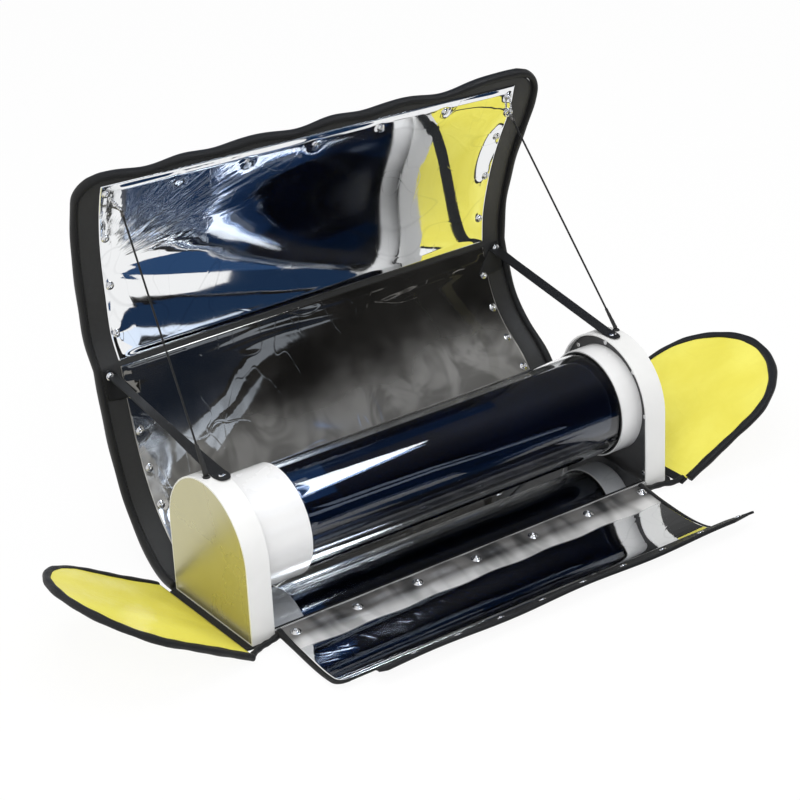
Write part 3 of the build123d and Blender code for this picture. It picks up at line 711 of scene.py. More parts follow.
def sealed_film():
    """The flap's film: matt where it is sealed down beside the clamp rail, mirror outwards of the rivets. The
    sealed band's colour is painted light and shade: a painted shadow along the rail that grows lighter
    outwards, and painted light and dark streaks of its puckers.
    """
    made, net, shader = silvered("flap_film", 0.03)
    place = net.split(cloth_place(net))
    from_rivet = net.math("ADD", place[0], -FLAP_RIVET_X[0] * MM)
    turns = net.math("MULTIPLY", from_rivet, tau / (FLAP_RIVET_PITCH * MM))
    edge = net.math("ADD", place[1], net.math("MULTIPLY", net.math("COSINE", turns), 0.0012))
    sealed = net.ramp(edge, 0.040, 0.044, 1.0, 0.0)
    streaks = net.stretched(cloth_place(net), (1.0, 0.35, 1.0))
    # painted light and shade of the puckers: light and dark streaks along the sealed band
    cloud = net.ramp(net.noise(streaks, 38.0, 1.5, 0.5, 0.6), 0.34, 0.66)
    # painted shadow along the rail, growing lighter outwards
    rise = net.ramp(edge, 0.018, 0.036)
    light = net.mix(rise, (0.20, 0.195, 0.19), (0.80, 0.79, 0.78))
    shade = net.mix(rise, (0.04, 0.04, 0.04), (0.46, 0.46, 0.45))
    mirror = shader.inputs["Base Color"].links[0].from_socket
    paint(net, shader, net.mix(sealed, mirror, net.mix(cloud, shade, light)))
    net.link(net.ramp(sealed, 0.0, 1.0, 1.0, 0.45), shader.inputs["Metallic"])
    smooth = shader.inputs["Roughness"].links[0].from_socket
    net.link(net.math("ADD", smooth, net.math("MULTIPLY", sealed, 0.30)), shader.inputs["Roughness"])
    return made


def dark_plate():
    """Dark glossy plate with a fine brushed grain."""
    made, net, shader = material("dark_inner_plate", (0.07, 0.07, 0.072), 0.34, metallic=0.5)
    grain = net.noise(net.stretched(object_place(net), (40, 6, 900)), 1.0, 4.0, 0.6)
    spots = place_group(net, MOTTLE, object_place(net), Scale=12.0, Fine=200.0)
    paint(net, shader, net.mix(grain, (0.055, 0.055, 0.057), (0.085, 0.085, 0.088)))
    vary_roughness(net, shader, spots["Cloud"], 0.28, 0.40)
    net.link(net.bump(grain, 0.08, 0.0002), shader.inputs["Normal"])
    return made


def clear_glass():
    made, net, shader = material("clear_glass", (0.98, 0.99, 1.0), 0.0, Transmission_Weight=1.0, IOR=1.47)
    spots = place_group(net, MOTTLE, object_place(net), Scale=9.0, Fine=150.0)
    vary_roughness(net, shader, spots["Cloud"], 0.0, 0.015)
    return made


def steel(name, color, rough, stretch):
    """Bare metal with a fine grain, drawn out where stretch differs from axis to axis."""
    made, net, shader = material(name, color, rough, metallic=1.0)
    grain = net.noise(net.stretched(object_place(net), stretch), 1.0, 4.0, 0.65)
    paint(net, shader, net.mix(grain, [c * 0.8 for c in color], color))
    net.link(net.ramp(grain, 0.2, 0.8, rough * 0.7, rough * 1.4), shader.inputs["Roughness"])
    net.link(net.bump(grain, 0.12, 0.0003), shader.inputs["Normal"])
    return made


def ticked_rail():
    """Clamp rail, bright with fine cross ticks along its outer edge and blackened inside."""
    made, net, shader = material("ticked_rail_steel", (0.80, 0.80, 0.80), 0.30, metallic=0.25)
    along = net.split(object_place(net))[0]
    wave = net.math("SINE", net.math("MULTIPLY", along, tau / 0.0024))
    tick = net.ramp(wave, 0.1, 0.7)
    spots = place_group(net, MOTTLE, object_place(net), Scale=18.0, Fine=300.0)
    ticked = net.mix(tick, (0.82, 0.82, 0.82), (0.20, 0.20, 0.21))
    out = net.math("ABSOLUTE", net.split(object_place(net))[1])
    stripe = net.ramp(out, 0.0728, 0.0736)
    paint(net, shader, net.mix(stripe, (0.02, 0.02, 0.022), ticked))
    vary_roughness(net, shader, spots["Cloud"], 0.12, 0.26)
    net.link(net.bump(net.math("MULTIPLY", tick, -1.0), 0.5, 0.0004), shader.inputs["Normal"])
    return made


def rubber(name, color, rough):
    lighter = [c * 1.8 + 0.004 for c in color]
    return clouded(name, color, lighter, (rough - 0.08, rough + 0.08), 20.0, 500.0, (0.15, 0.0004),
                   Specular_IOR_Level=0.35)


FLAP_RIVET_PITCH = 78
FLAP_RIVET_X = [-235.0 + i * FLAP_RIVET_PITCH for i in range(7)]

LOOK = {
    "black_fabric": woven(
        "black_nylon", (0.003, 0.003, 0.003), (0.009, 0.009, 0.010), 0.60, 0.0009, 0.0002, 0.04),
    "yellow_fabric": yellow_coated(),
    "grey_fabric": woven(
        "grey_lining", (0.016, 0.016, 0.016), (0.030, 0.030, 0.030), 0.50, 0.0006, 0.00008, 0.06, 0.4),
    "black_webbing": woven(
        "black_webbing", (0.002, 0.002, 0.002), (0.007, 0.007, 0.008), 0.52, 0.0016, 0.0003, 0.03),
    "mirror_film": silvered("silvered_film", 0.02)[0],
    "mirror_sheet": silvered("polished_trough_sheet", 0.02)[0],
    "white_coat": clouded(
        "white_powder_coat", (0.80, 0.80, 0.79), (0.86, 0.86, 0.85), (0.27, 0.38), 7.0, 900.0, (0.18, 0.0004),
        Specular_IOR_Level=0.5),
    "dark_plate": dark_plate(),
    "white_plastic": clouded(
        "white_moulded_collar", (0.84, 0.84, 0.84), (0.88, 0.88, 0.88), (0.16, 0.28), 16.0, 500.0,
        (0.06, 0.0003), Coat_Weight=0.3, Coat_Roughness=0.1),
    "clear_glass": clear_glass(),
    # Dark blue-black absorber coating behind glass
    "coated_glass": clouded(
        "coated_glass", (0.001, 0.002, 0.009), (0.002, 0.005, 0.020), (0.01, 0.04), 8.0, 120.0,
        Specular_IOR_Level=0.5, Specular_Tint=(0.5, 0.65, 1.0, 1)),
    "steel": steel("stainless_steel", (0.66, 0.66, 0.67), 0.26, (500, 30, 500)),
    "rivet_metal": steel("nickel_plate", (0.78, 0.78, 0.79), 0.12, (60, 60, 60)),
    "black_rubber": rubber("black_silicone", (0.010, 0.010, 0.010), 0.55),
    "black_plastic": rubber("black_heatproof_plastic", (0.014, 0.014, 0.015), 0.42),
    "cord_black": woven(
        "braided_cord", (0.003, 0.003, 0.003), (0.010, 0.010, 0.010), 0.6, 0.0007, 0.0002, 0.03),
    "clasp_dark": steel("blackened_clasp_metal", (0.16, 0.15, 0.14), 0.25, (90, 90, 90)),
}
OWN_LOOK = {
    "front_clamp_rail": ticked_rail(),
    # Pale yellow tint painted in for the yellow flap's reflection, on a satin metal that also mirrors the
    # flap beside it
    "left_end_plate": clouded(
        "end_plate_painted_flap_reflection", (0.50, 0.47, 0.28), (0.54, 0.51, 0.32), (0.22, 0.32), 7.0, 700.0, (0.05, 0.0002),
        metallic=0.65),
    "front_flap_film": sealed_film(),
    "lid_upper_film": pulled_film(),
    "lid_lower_film": shaded_film(),
}
OWN_LOOK["rear_clamp_rail"] = OWN_LOOK["front_clamp_rail"]


def dress_cad_nodes():
    """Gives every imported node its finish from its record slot."""
    for row in frame["record"]["subparts"]:
        data = nodes[row["node"]].data
        look = OWN_LOOK.get(row["node"], LOOK[row["material_slot"]])
        data.materials.clear()
        data.materials.append(look)


dress_cad_nodes()


# Lid: one cloth over both panels, film skins, binding and rivets

CORNER = 26.0
LID_MARGIN = 3.0
LID_THICK = 3.0
SEAM_HALF = 0.035
# Blend over the fold, in metres
TOP_WAVES = ((-280, 0.0), (-238, 2.0), (-205, -3.5), (-160, 1.5), (-120, -1.5), (-70, 2.5), (-25, -3.0),
             (20, 2.5), (60, -1.0), (110, 3.0), (150, -3.0), (205, 3.0), (250, 4.0), (280, 2.0))


def top_wave(x):
    """Height that the soft top edge stands above or below its straight line."""
    places, heights = zip(*TOP_WAVES)
    line = natural_spline(list(zip(places, heights)))
    return np.interp(x, line[:, 0], line[:, 1])


def lid_place(s, v, margin=0.0):
    """(x, u) of the lid cloth at s from -1 to 1 across and v from 0 to 1 up, with rounded top corners."""
    s, v = np.broadcast_arrays(np.asarray(s, float), np.asarray(v, float))
    flat_up = v * LID.length
    from_top = LID.length - flat_up
    round_off = CORNER - np.sqrt(np.maximum(CORNER ** 2 - (CORNER - from_top) ** 2, 0))
    inset = np.where(from_top < CORNER, round_off, 0)
    x = s * (HALF_LENGTH - margin - inset)
    up = flat_up - margin * v + top_wave(x) * np.clip((flat_up - LOWER.length) / UPPER.length, 0, 1) ** 2
    u = np.where(up < LOWER.length, up / LOWER.length, 1 + (up - LOWER.length) / UPPER.length)
    return x, u


def make_lid_cloth():
    """One cloth over both panels: grey lining inside, black outside, rippled at the fold and the top edge."""
    s, v = grid(141, 131, (-1, 1))
    x, u = lid_place(s, v, LID_MARGIN)
    near_fold = np.exp(-((u - 1) / 0.07) ** 2)
    near_top = np.exp(-((u - 2) / 0.08) ** 2)
    ripple = 0.45 * np.sin(x / 52 + 5 * u) * np.sin(u * 4.1 + x / 190)
    ripple += 0.3 * np.sin(x / 7.3 + 2 * u) * near_fold + 0.25 * np.sin(x / 9.1) * near_top
    cloth = sheet_mesh("lid_cloth", LID.place(x, u, 0.0), LID.place(x, u, ripple - LID_THICK), "grey_fabric",
                       np.stack([x, v * LID.length], -1), [LOOK["grey_fabric"], LOOK["black_fabric"]], 1)
    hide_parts("lid_lower_fabric", "lid_upper_fabric")
    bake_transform(cloth)


make_lid_cloth()


def make_fold_seam():
    """Tape sewn over the fold on the lid's back, with a row of stitches along each edge."""
    x, u = grid(150, 9, (-270, 270), (1 - SEAM_HALF, 1 + SEAM_HALF))
    off = (u - 1) / SEAM_HALF
    bulge = 0.5 * np.cos(off * pi / 2)
    pucker = 0.14 * np.sin(x / 5.1) * np.abs(off)
    tape = sheet_mesh("lid_fold_seam", LID.place(x, u, -2.4), LID.place(x, u, pucker - 4.0 - bulge),
                      "black_webbing", np.stack([x, (u - 1) * LOWER.length], -1))
    fix_normals(tape)
    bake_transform(tape)


make_fold_seam()


def round_the_lid(start, up, over, margin=0.0):
    """(x, u) up the lid's left edge from start, along its top and down its right edge."""
    rise = np.linspace(start, 1, up)
    s = np.concatenate([np.full(up, -1.0), np.linspace(-1, 1, over)[1:-1], np.full(up, 1.0)])
    return lid_place(s, np.concatenate([rise, np.ones(over - 2), rise[::-1]]), margin)


def make_lid_binding():
    x, u = round_the_lid(0.0, 190, 180)
    path = even(np.concatenate([LID.place(x, u, -0.8), LID.normal(x, u)], 1), 560)
    k = np.arange(len(path))
    swell = 1 + 0.07 * np.sin(k * 0.11) + 0.05 * np.sin(k * 0.29 + 1)
    binding = tube_mesh(
        "lid_binding", path[:, :3], path[:, 3:], oval(8.5, 10.5), "black_webbing", scale=swell
    )
    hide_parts("lid_lower_binding", "lid_upper_binding")
    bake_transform(binding)


make_lid_binding()

FILM_X = 252.0
FILM_THICK = 0.3
FILM_LIFT = 0.8
FILM_LIFT_LEAST = 0.35
# Widths over which a film's ripples die away to its sides and its ends
FLAT_SIDE = 14
FLAT_END = 8
EDGE_X = 245.0
TOP_RIVET_X = [-EDGE_X + i * 2 * EDGE_X / 6 for i in range(7)]
TOP_RIVET_T = 0.90
UPPER_RIVETS = [(x, TOP_RIVET_T) for x in TOP_RIVET_X]
UPPER_RIVETS += [(k * EDGE_X, t) for k in (-1, 1) for t in (0.15, 0.40, 0.65)]
LOWER_RIVETS = [(k * EDGE_X, t) for k in (-1, 1) for t in (0.22, 0.38, 0.54, 0.70, 0.86)]


def dimples(x, d, rivets, length, depth, radius):
    """Hollows pressed into a film round its rivets."""
    total = np.zeros(x.shape)
    for rivet_x, rivet_t in rivets:
        far = np.hypot(x - rivet_x, d - rivet_t * length)
        total -= depth * np.exp(-(far / radius) ** 2)
    return total


def even_pull(panel, x, t):
    """Rise that takes a taut film over the panel in one even curve, where its cloth bends unevenly."""
    normal = panel.normal(x, t)
    lean = np.arctan2(normal[..., 2], -normal[..., 1])
    total = np.zeros(x.shape)
    for k in range(x.shape[1]):
        smooth = np.polyval(np.polyfit(t[:, k], lean[:, k], 2), t[:, k])
        total[:, k] = np.cumsum(lean[:, k] - smooth) * (t[1, k] - t[0, k]) * panel.length
    return total - total.min(0)


def make_film(label, panel, t_range, rivets, height_of):
    """Film skin of one panel, flat along its edges and pressed in at its rivets."""
    body, node = f"lid_{label}", f"lid_{label}_film"
    x, t = grid(253, 121, (-FILM_X, FILM_X), t_range)
    d = t * panel.length
    from_side = (FILM_X - np.abs(x)) / FLAT_SIDE
    from_end = np.minimum(t - t_range[0], t_range[1] - t) * panel.length / FLAT_END
    edge = eased(np.clip(np.minimum(from_side, from_end), 0, 1))
    height = FILM_LIFT + edge * height_of(x, t, d) + dimples(x, d, rivets, panel.length, 0.5, 8.0)
    height = np.maximum(height, FILM_LIFT_LEAST)
    front, back = panel.place(x, t, height), panel.place(x, t, height - FILM_THICK)
    film = sheet_mesh(f"{label}_mirror_film", front, back, "mirror_film", np.stack([x, d], -1),
                      [OWN_LOOK[node]])
    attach(film, body)
    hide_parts(node)


def fan(x, d, centre, count, size, reach):
    """Pulled folds that spread from one point of the edge."""
    dx, dd = x - centre[0], d - centre[1]
    far = np.hypot(dx, dd)
    angle = np.arctan2(dd, dx)
    wander = 0.25 * np.sin(far / 31) + 0.35 * np.sin(angle * 5)
    folds = np.sin(count * angle + wander) + 0.6 * np.sin(1.7 * count * angle + 2 + wander)
    return size * folds * np.clip(far / 40, 0, 1) * np.exp(-(far / reach) ** 2)


def upper_waves(x, t, d):
    """Long pulls from the left edge, slack between the top rivets and a soft roll."""
    phase = (x - TOP_RIVET_X[0]) / (TOP_RIVET_X[1] - TOP_RIVET_X[0]) * tau
    slack = 0.12 * (1 - np.cos(phase)) * np.clip((t - 0.80) / 0.20, 0, 1) ** 2
    pulls = fan(x, d, (-262, 0.50 * UPPER.length), 26, 0.016, 210)
    pulls += fan(x, d, (262, 0.97 * UPPER.length), 13, 0.02, 110)
    roll = 0.07 * np.sin(x / 75 + d / 60)
    inner = np.clip((FILM_X - np.abs(x)) / 30, 0, 1)
    return 0.1 + slack + pulls + roll + even_pull(UPPER, x, t) * eased(inner)


def lower_waves(x, t, d):
    """Slack film: broad rolls, and short creases below the fold."""
    rolls = 0.4 * np.sin(x / 63 + d / 47) + 0.10 * np.sin(x / 29 - d / 36)
    creases = 0.20 * np.sin(d / 3.1 + 1.3 * np.sin(x / 41)) * np.exp(-((t - 0.93) / 0.035) ** 2)
    return 0.5 + rolls + creases


make_film("upper", UPPER, (0.015, 0.955), UPPER_RIVETS, upper_waves)
make_film("lower", LOWER, (0.02, 0.99), LOWER_RIVETS, lower_waves)

RIVET_SHAPE = lathe_points([
    (0, -0.6), (4.6, -0.6), (4.8, -0.2), (4.4, 0.35), (3.4, 0.3), (3.1, 0.45), (2.9, 1.2), (2.2, 1.7),
    (1.2, 1.8), (1.0, 1.1), (0, 1.0),
])


for label, panel, rivets in (("upper", UPPER, UPPER_RIVETS), ("lower", LOWER, LOWER_RIVETS)):
    rivet_places = [(panel.place(x, t, 1.2), panel.normal(x, t)) for x, t in rivets]
    fasten(f"{label}_film_rivets", RIVET_SHAPE, rivet_places, "rivet_metal", f"lid_{label}",
           f"lid_{label}_rivets")


# Front flap: film pillowed between its rivets, black cloth under it, hem strip with eyelets

FLAP_X = (-248.0, 240.0)
FLAP_END = 0.875
FLAP_SPREAD = 7.0
FLAP_CORNER = 13.0
FLAP_THICK = 2.0
FLAP_RIVET_T = 12.5 / FLAP.length


def flap_grid(columns, rows, inset):
    """Grid of (x, t) over the flap: its left edge leans outwards and its outer left corner is rounded."""
    s, v = grid(columns, rows)
    t = v * FLAP_END
    into_corner = np.maximum(FLAP_CORNER - (1 - v) * FLAP_END * FLAP.length, 0)
    cut = FLAP_CORNER - np.sqrt(np.maximum(FLAP_CORNER ** 2 - into_corner ** 2, 0))
    left = FLAP_X[0] - FLAP_SPREAD * v + cut + inset
    right = FLAP_X[1] - inset
    return left + s * (right - left), t


def flap_film_height(x, t):
    """Height of the film over the cloth: pillows between the rivets, and slack towards the hem."""
    d = t * FLAP.length
    phase = (x - FLAP_RIVET_X[0]) / FLAP_RIVET_PITCH * tau
    pillow = 2.2 * (1 - np.cos(phase)) / 2 * np.exp(-((d - 8) / 8) ** 2)
    fold = 0.5 * np.exp(-((d - 22 - 2 * np.cos(phase)) / 4) ** 2)
    slack = 0.30 * np.sin(x / 61 + 1) + 0.22 * np.sin(d / 15 + x / 130) * np.clip((d - 28) / 20, 0, 1)
    puckers = 0.16 * np.sin(x / 5.3 + np.sin(x / 17) + d / 12) * np.exp(-((d - 20) / 16) ** 2)
    places = [(rivet_x, FLAP_RIVET_T) for rivet_x in FLAP_RIVET_X]
    pressed = dimples(x, d, places, FLAP.length, 1.0, 6.0)
    return np.maximum(1.4 + pillow + fold + slack + puckers + pressed, 0.5)


def make_front_flap():
    x, t = flap_grid(245, 61, 0.0)
    cloth = sheet_mesh("front_flap_cloth", FLAP.place(x, t, 0.0), FLAP.place(x, t, -FLAP_THICK),
                       "black_fabric", np.stack([x, t * FLAP.length], -1))
    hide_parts("front_flap_fabric")
    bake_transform(cloth)
    x, t = flap_grid(365, 101, 2.5)
    height = flap_film_height(x, t)
    front, back = FLAP.place(x, t, height), FLAP.place(x, t, height - FILM_THICK)
    film = sheet_mesh("front_flap_mirror_film", front, back, "mirror_film",
                      np.stack([x, t * FLAP.length], -1), [OWN_LOOK["front_flap_film"]])
    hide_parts("front_flap_film")
    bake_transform(film)
    places = [(FLAP.place(x, FLAP_RIVET_T, 1.1), FLAP.normal(x, FLAP_RIVET_T)) for x in FLAP_RIVET_X]
    stud = scaled(RIVET_SHAPE, 1.3, 1.3, 1.2)
    fasten("front_flap_studs", stud, places, "rivet_metal", "front_flap", "front_flap_rivets")


make_front_flap()


def make_flap_rolls():
    """Rolled black edges of the flap's short sides, and the rolls that run on round the base's corners."""
    for name, side in (("left", -1), ("right", 1)):
        x, t = flap_grid(60, 60, 0.0)
        column = 0 if side < 0 else -1
        x, t = x[:, column] + side * 0.4, t[:, column]
        path = FLAP.place(x, t, -0.6)
        path[:3, 1] -= 0.8
        narrow = np.interp(t, (0, 0.25, FLAP_END), (1.25, 0.85, 0.55))
        roll = tube_mesh(f"flap_{name}_roll", path, FLAP.normal(x, t), oval(6.4, 6.0), "black_webbing",
                         scale=narrow)
        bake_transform(roll)
        edge_x = x[0]
        start = (side * 291.0, -92.0, 3.4) if side < 0 else (side * 297.0, -88.0, 6.0)
        points = [start, (side * 281, -86.5, 4.2), (side * 270, -83.0, 4.6), (edge_x + side * 8, -81.5, 6.2),
                  (edge_x, -80.6, 8.6)]
        path = natural_spline(points, 50)
        wrap = tube_mesh(f"base_{name}_corner_roll", path, (0, 0, 1), oval(6.6, 6.0), "black_webbing",
                         scale=1 + 0.08 * np.sin(np.arange(50) * 0.5))
        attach(wrap, "base")


make_flap_rolls()

HEM_X = (-214.0, 294.5)
HEM_START = 0.872
HEM_MIDDLE = 0.936
HEM_TAIL = 34.0
EYELET_X = [273.0 - 55 * i for i in range(9)]


def hem_sway(x, t):
    return 1.2 * np.sin(x / 31) * (t - HEM_START) / (1 - HEM_START)


def make_hem():
    """Folded strip along the flap's outer edge: thin at the film, fat at its free edge, with a tail."""
    x, w = grid(260, 17, HEM_X)
    taper = np.clip((HEM_X[1] - x) / HEM_TAIL, 0.2, 1) * np.clip((x - HEM_X[0] + 4) / 12, 0.3, 1)
    t = HEM_MIDDLE + (HEM_START + w * (1 - HEM_START) - HEM_MIDDLE) * taper
    sway = hem_sway(x, t)
    bead = np.sqrt(np.clip(1 - ((w - 0.90) / 0.12) ** 2, 0, 1)) * 1.1
    thick = 1.0 + 2.2 * w * taper
    front = FLAP.place(x, t, 1.0 + sway + bead - 1.2 * w ** 3)
    back = FLAP.place(x, t, 0.9 - thick + sway - bead)
    hem = sheet_mesh("front_hem_band", front, back, "black_webbing", np.stack([x, t * FLAP.length], -1))
    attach(hem, "front_flap")
    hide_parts("front_hem_strip")
    ring = scaled(ring_shape(2.9, 0.95, 0.7), 1.2, 0.85, 1)
    places = []
    for x in EYELET_X:
        lift = 1.2 + hem_sway(x, HEM_MIDDLE)
        places.append((FLAP.place(x, HEM_MIDDLE, lift), FLAP.normal(x, HEM_MIDDLE)))
    fasten("hem_eyelet_rings", ring, places, "rivet_metal", "front_flap", "hem_eyelets")


make_hem()


# Base: bound cloth floor, and the tape at the lid's root

FLOOR_X = 289.7
FLOOR_Y = 77.9
FLOOR_RIM = 2.0


def rounded_loop(half_x, half_y, radius, count):
    """Closed rectangle with round corners, as (x, y) at even steps."""
    points = []
    inner_x, inner_y = half_x - radius, half_y - radius
    for turn, (sx, sy) in enumerate(((1, 1), (-1, 1), (-1, -1), (1, -1))):
        for k in range(9):
            a = (turn + k / 8) * pi / 2
            points.append((sx * inner_x + radius * cos(a), sy * inner_y + radius * sin(a)))
    points.append(points[0])
    return even(np.array(points), count + 1)[:-1]


def make_bag_floor():
    """Cloth under the base and the rolled rim round it."""
    s, v = grid(121, 41, (-1, 1), (-1, 1))
    x, y = s * (FLOOR_X - FLOOR_RIM), v * (FLOOR_Y - FLOOR_RIM)
    dent = 0.12 * np.sin(x / 23 + y / 31) * np.sin(x / 71)
    front = np.stack([x, y, 2.75 + dent], -1)
    back = np.stack([x, y, 0.35 + dent], -1)
    cloth = sheet_mesh("bag_floor_cloth", front, back, "black_fabric", front)
    fix_normals(cloth)
    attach(cloth, "base")
    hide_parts("bag_floor")
    loop = rounded_loop(FLOOR_X - 2.2, FLOOR_Y - 2.2, 4, 420)
    path = np.column_stack([loop, np.full(len(loop), 1.5)])
    rim = tube_mesh("bag_floor_rim", path, (0, 0, 1), oval(4.2, 2.9), "black_webbing", closed=True)
    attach(rim, "base")


make_bag_floor()


def make_root_tape():
    """Black tape that joins the base's rear edge to the root of the lid."""
    s, v = grid(141, 15, (-1, 1))
    x = s * (HALF_LENGTH - LID_MARGIN)
    curve = natural_spline([(76.0, 1.6), (78.6, 2.2), (80.4, 3.0), (84.0, 3.1), (92.0, 3.9)], 60)
    y, z = (np.interp(v * 59, np.arange(60), curve[:, k]) for k in (0, 1))
    pucker = 0.12 * np.sin(x / 9) * v
    front = np.stack([x, y, z + 0.35 + pucker], -1)
    back = np.stack([x, y, z - 0.75 + pucker], -1)
    tape = sheet_mesh("lid_root_tape", front, back, "black_webbing", np.stack([x, y], -1))
    fix_normals(tape)
    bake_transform(tape)


make_root_tape()


# Side flaps: D-shaped coated cloth with a thick black binding

FLAP_HALF = 96.0
FLAP_STRAIGHT = 114.0
FLAP_INSET = 4.0
SIDE_HINGE_X = 290
SIDE_HINGE_Z = 3


def flap_edge(length, inset, count=160):
    """Outline of a side flap from one hinge corner round the nose to the other: (out, along) points."""
    half, tip = FLAP_HALF - inset, length - inset
    rise = tip - FLAP_STRAIGHT
    radius = (half ** 2 + rise ** 2) / (2 * rise)
    centre = tip - radius
    start = atan2(half, FLAP_STRAIGHT - centre)
    arc = [(centre + radius * cos(a), radius * sin(a)) for a in np.linspace(start, -start, 80)]
    side = [(o, half) for o in np.linspace(0, FLAP_STRAIGHT, 30)[:-1]]
    other = [(o, -half) for o in np.linspace(FLAP_STRAIGHT, 0, 30)[1:]]
    return even(np.array(side + arc + other), count)


def flap_point(side, angle, out, along, height):
    """Point of a side flap: out from its hinge line, along the hinge and above its middle plane."""
    c, s = cos(radians(angle)), sin(radians(angle))
    x = side * (SIDE_HINGE_X + out * c - height * s)
    z = SIDE_HINGE_Z + out * s + height * c
    return np.stack([x, along * np.ones_like(x), z], -1)


def make_side_flap(name, side, angle, length, start):
    """Cloth and rolled rim of a side flap at its resting angle, from start out of its hinge line."""
    edge = flap_edge(length, FLAP_INSET)
    rows, columns = 70, 80
    half_count = len(edge) // 2
    pick = np.linspace(0, half_count - 1, rows)
    near, far = (
        np.stack([np.interp(pick, np.arange(half_count), half[:, k]) for k in (0, 1)], 1)
        for half in (edge[:half_count], edge[::-1][:half_count])
    )
    w = np.linspace(0, 1, columns)[None, :, None]
    plan = near[:, None] * (1 - w) + far[:, None] * w
    plan[..., 0] = np.maximum(plan[..., 0], start)
    out, along = plan[..., 0], plan[..., 1]
    height = 0.7 * np.sin(out / 23 + along / 31) + 0.5 * np.sin(along / 13 - out / 40)
    height *= np.clip(out / 30, 0, 1)
    front = flap_point(side, angle, out, along, height + 1.2)
    back = flap_point(side, angle, out, along, height - 1.2)
    cloth = sheet_mesh(name + "_cloth", front, back, "yellow_fabric", plan)
    fix_normals(cloth)
    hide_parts(name + "_fabric")
    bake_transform(cloth)
    rim = flap_edge(length, 1.0, 260)
    rim = rim[rim[:, 0] >= start]
    path = flap_point(side, angle, rim[:, 0], rim[:, 1], 0.0)
    up = flap_point(side, angle, rim[:, 0], rim[:, 1], 1.0) - path
    k = np.arange(len(rim))
    swell = 1 + 0.06 * np.sin(k * 0.17) + 0.04 * np.sin(k * 0.41)
    swell -= 0.22 * np.clip(rim[:, 1] / FLAP_HALF, 0, 1)
    binding = tube_mesh(name + "_rim", path, up, oval(10.5, 8.0), "black_webbing", scale=swell)
    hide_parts(name + "_binding")
    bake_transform(binding)


LEFT_FLAP_ANGLE = 30
RIGHT_FLAP_ANGLE = 25
make_side_flap("left_flap", -1, LEFT_FLAP_ANGLE, 190,
               0.3)
make_side_flap("right_flap", 1, RIGHT_FLAP_ANGLE, 208,
               8.2)


def make_hinge_tape():
    """Short tape between the base and the right flap."""
    out, along = grid(12, 90, (-0.6, 8.3), (-94, 94))
    ripple = 0.10 * np.sin(along / 7)
    front, back = (flap_point(1, RIGHT_FLAP_ANGLE, out, along, face + ripple) for face in (0.9, -0.9))
    tape = sheet_mesh("flap_hinge_tape", front, back, "black_webbing", np.stack([out, along], -1))
    fix_normals(tape)
    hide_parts("right_flap_tape")
    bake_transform(tape)


make_hinge_tape()


# Straps, cords and their fittings

# x on the housing, x on the lid, and the width along the strap as a share of STRAP_WIDTH
STRAP_TABLE = {
    "left": (-258.0, -265.0, (0.85, 1.2, 1.05, 0.72, 0.66, 0.85)),
    "right": (263.0, 266.0, (0.75, 0.95, 0.90, 0.92, 0.92, 1.05)),
}
STRAP_WIDTH = 15.5
STRAP_HEIGHT = HOUSING_TOP + 0.9
TAB_RIVET_Y = -5.0
TAB_T = 0.965


def make_strap(name):
    """Webbing strap from its pointed tab on a housing to the lid's fold."""
    x, lid_x, widths = STRAP_TABLE[name]
    low = Vector((x, 4.0, STRAP_HEIGHT))
    high = Vector(LOWER.place(lid_x, TAB_T, 2.6))
    tab = [Vector((x, y, STRAP_HEIGHT)) for y in np.linspace(-14, 2, 8)]
    run = [low.lerp(high, k) for k in np.linspace(0, 1, 50)]
    path = even(np.array([tuple(p) for p in tab + run]), 120)
    path = np.concatenate([path[:1], path[:1] + (path[1] - path[0]) * 0.3, path[1:]])
    count = len(path)
    share = np.linspace(0, 1, count)
    flat = np.cross(unit(np.gradient(path, axis=0)), AXIS_X)
    flat *= np.sign(flat[:, 2:3])
    wide = np.interp(share, (0, 0.06, 0.14, 0.45, 0.85, 1), widths)
    wide[:4] *= np.array((0.30, 0.62, 0.80, 0.92))
    made = tube_mesh(f"{name}_lid_strap", path, flat, oval(STRAP_WIDTH, 1.5, 20, 6), "black_webbing",
                     scale=np.column_stack([wide, np.ones(count)]))
    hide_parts(f"{name}_strap")
    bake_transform(made)


def make_strap_rivets():
    places = [((row[0], TAB_RIVET_Y, HOUSING_TOP + 1.9), (0, 0, 1)) for row in STRAP_TABLE.values()]
    profile = [(0, -0.6), (3.6, -0.6), (4.0, 0.0), (3.4, 0.7), (2.4, 0.95), (1.4, 0.7), (0, 0.6)]
    shape = lathe_points(profile, 28)
    fasten("strap_tab_rivets", scaled(shape, 1.15, 0.8, 1), places, "rivet_metal", "base", "strap_rivets")


def make_fold_tabs():
    """Black triangles sewn over the ends of the fold, each with a rivet through its peak."""
    places = []
    for name, side in (("left", -1), ("right", 1)):
        w, v = grid(24, 20)
        x = side * (274 - w * (10 + 26 * v))
        t = 0.992 - 0.125 * v - 0.012 * np.sin(w * pi) * v
        lift = 1.9 + 0.25 * np.sin(w * 7 + v * 3)
        patch = sheet_mesh(f"{name}_fold_tab", LOWER.place(x, t, lift), LOWER.place(x, t, lift - 1.1),
                           "black_webbing", np.stack([x, t * LOWER.length], -1))
        fix_normals(patch)
        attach(patch, "lid_lower")
        rivet_x = side * 268.0
        places.append((LOWER.place(rivet_x, TAB_T, 3.6), LOWER.normal(rivet_x, TAB_T)))
    fasten("fold_tab_rivets", RIVET_SHAPE, places, "rivet_metal", "lid_lower")


for strap_name in STRAP_TABLE:
    make_strap(strap_name)
make_strap_rivets()
make_fold_tabs()

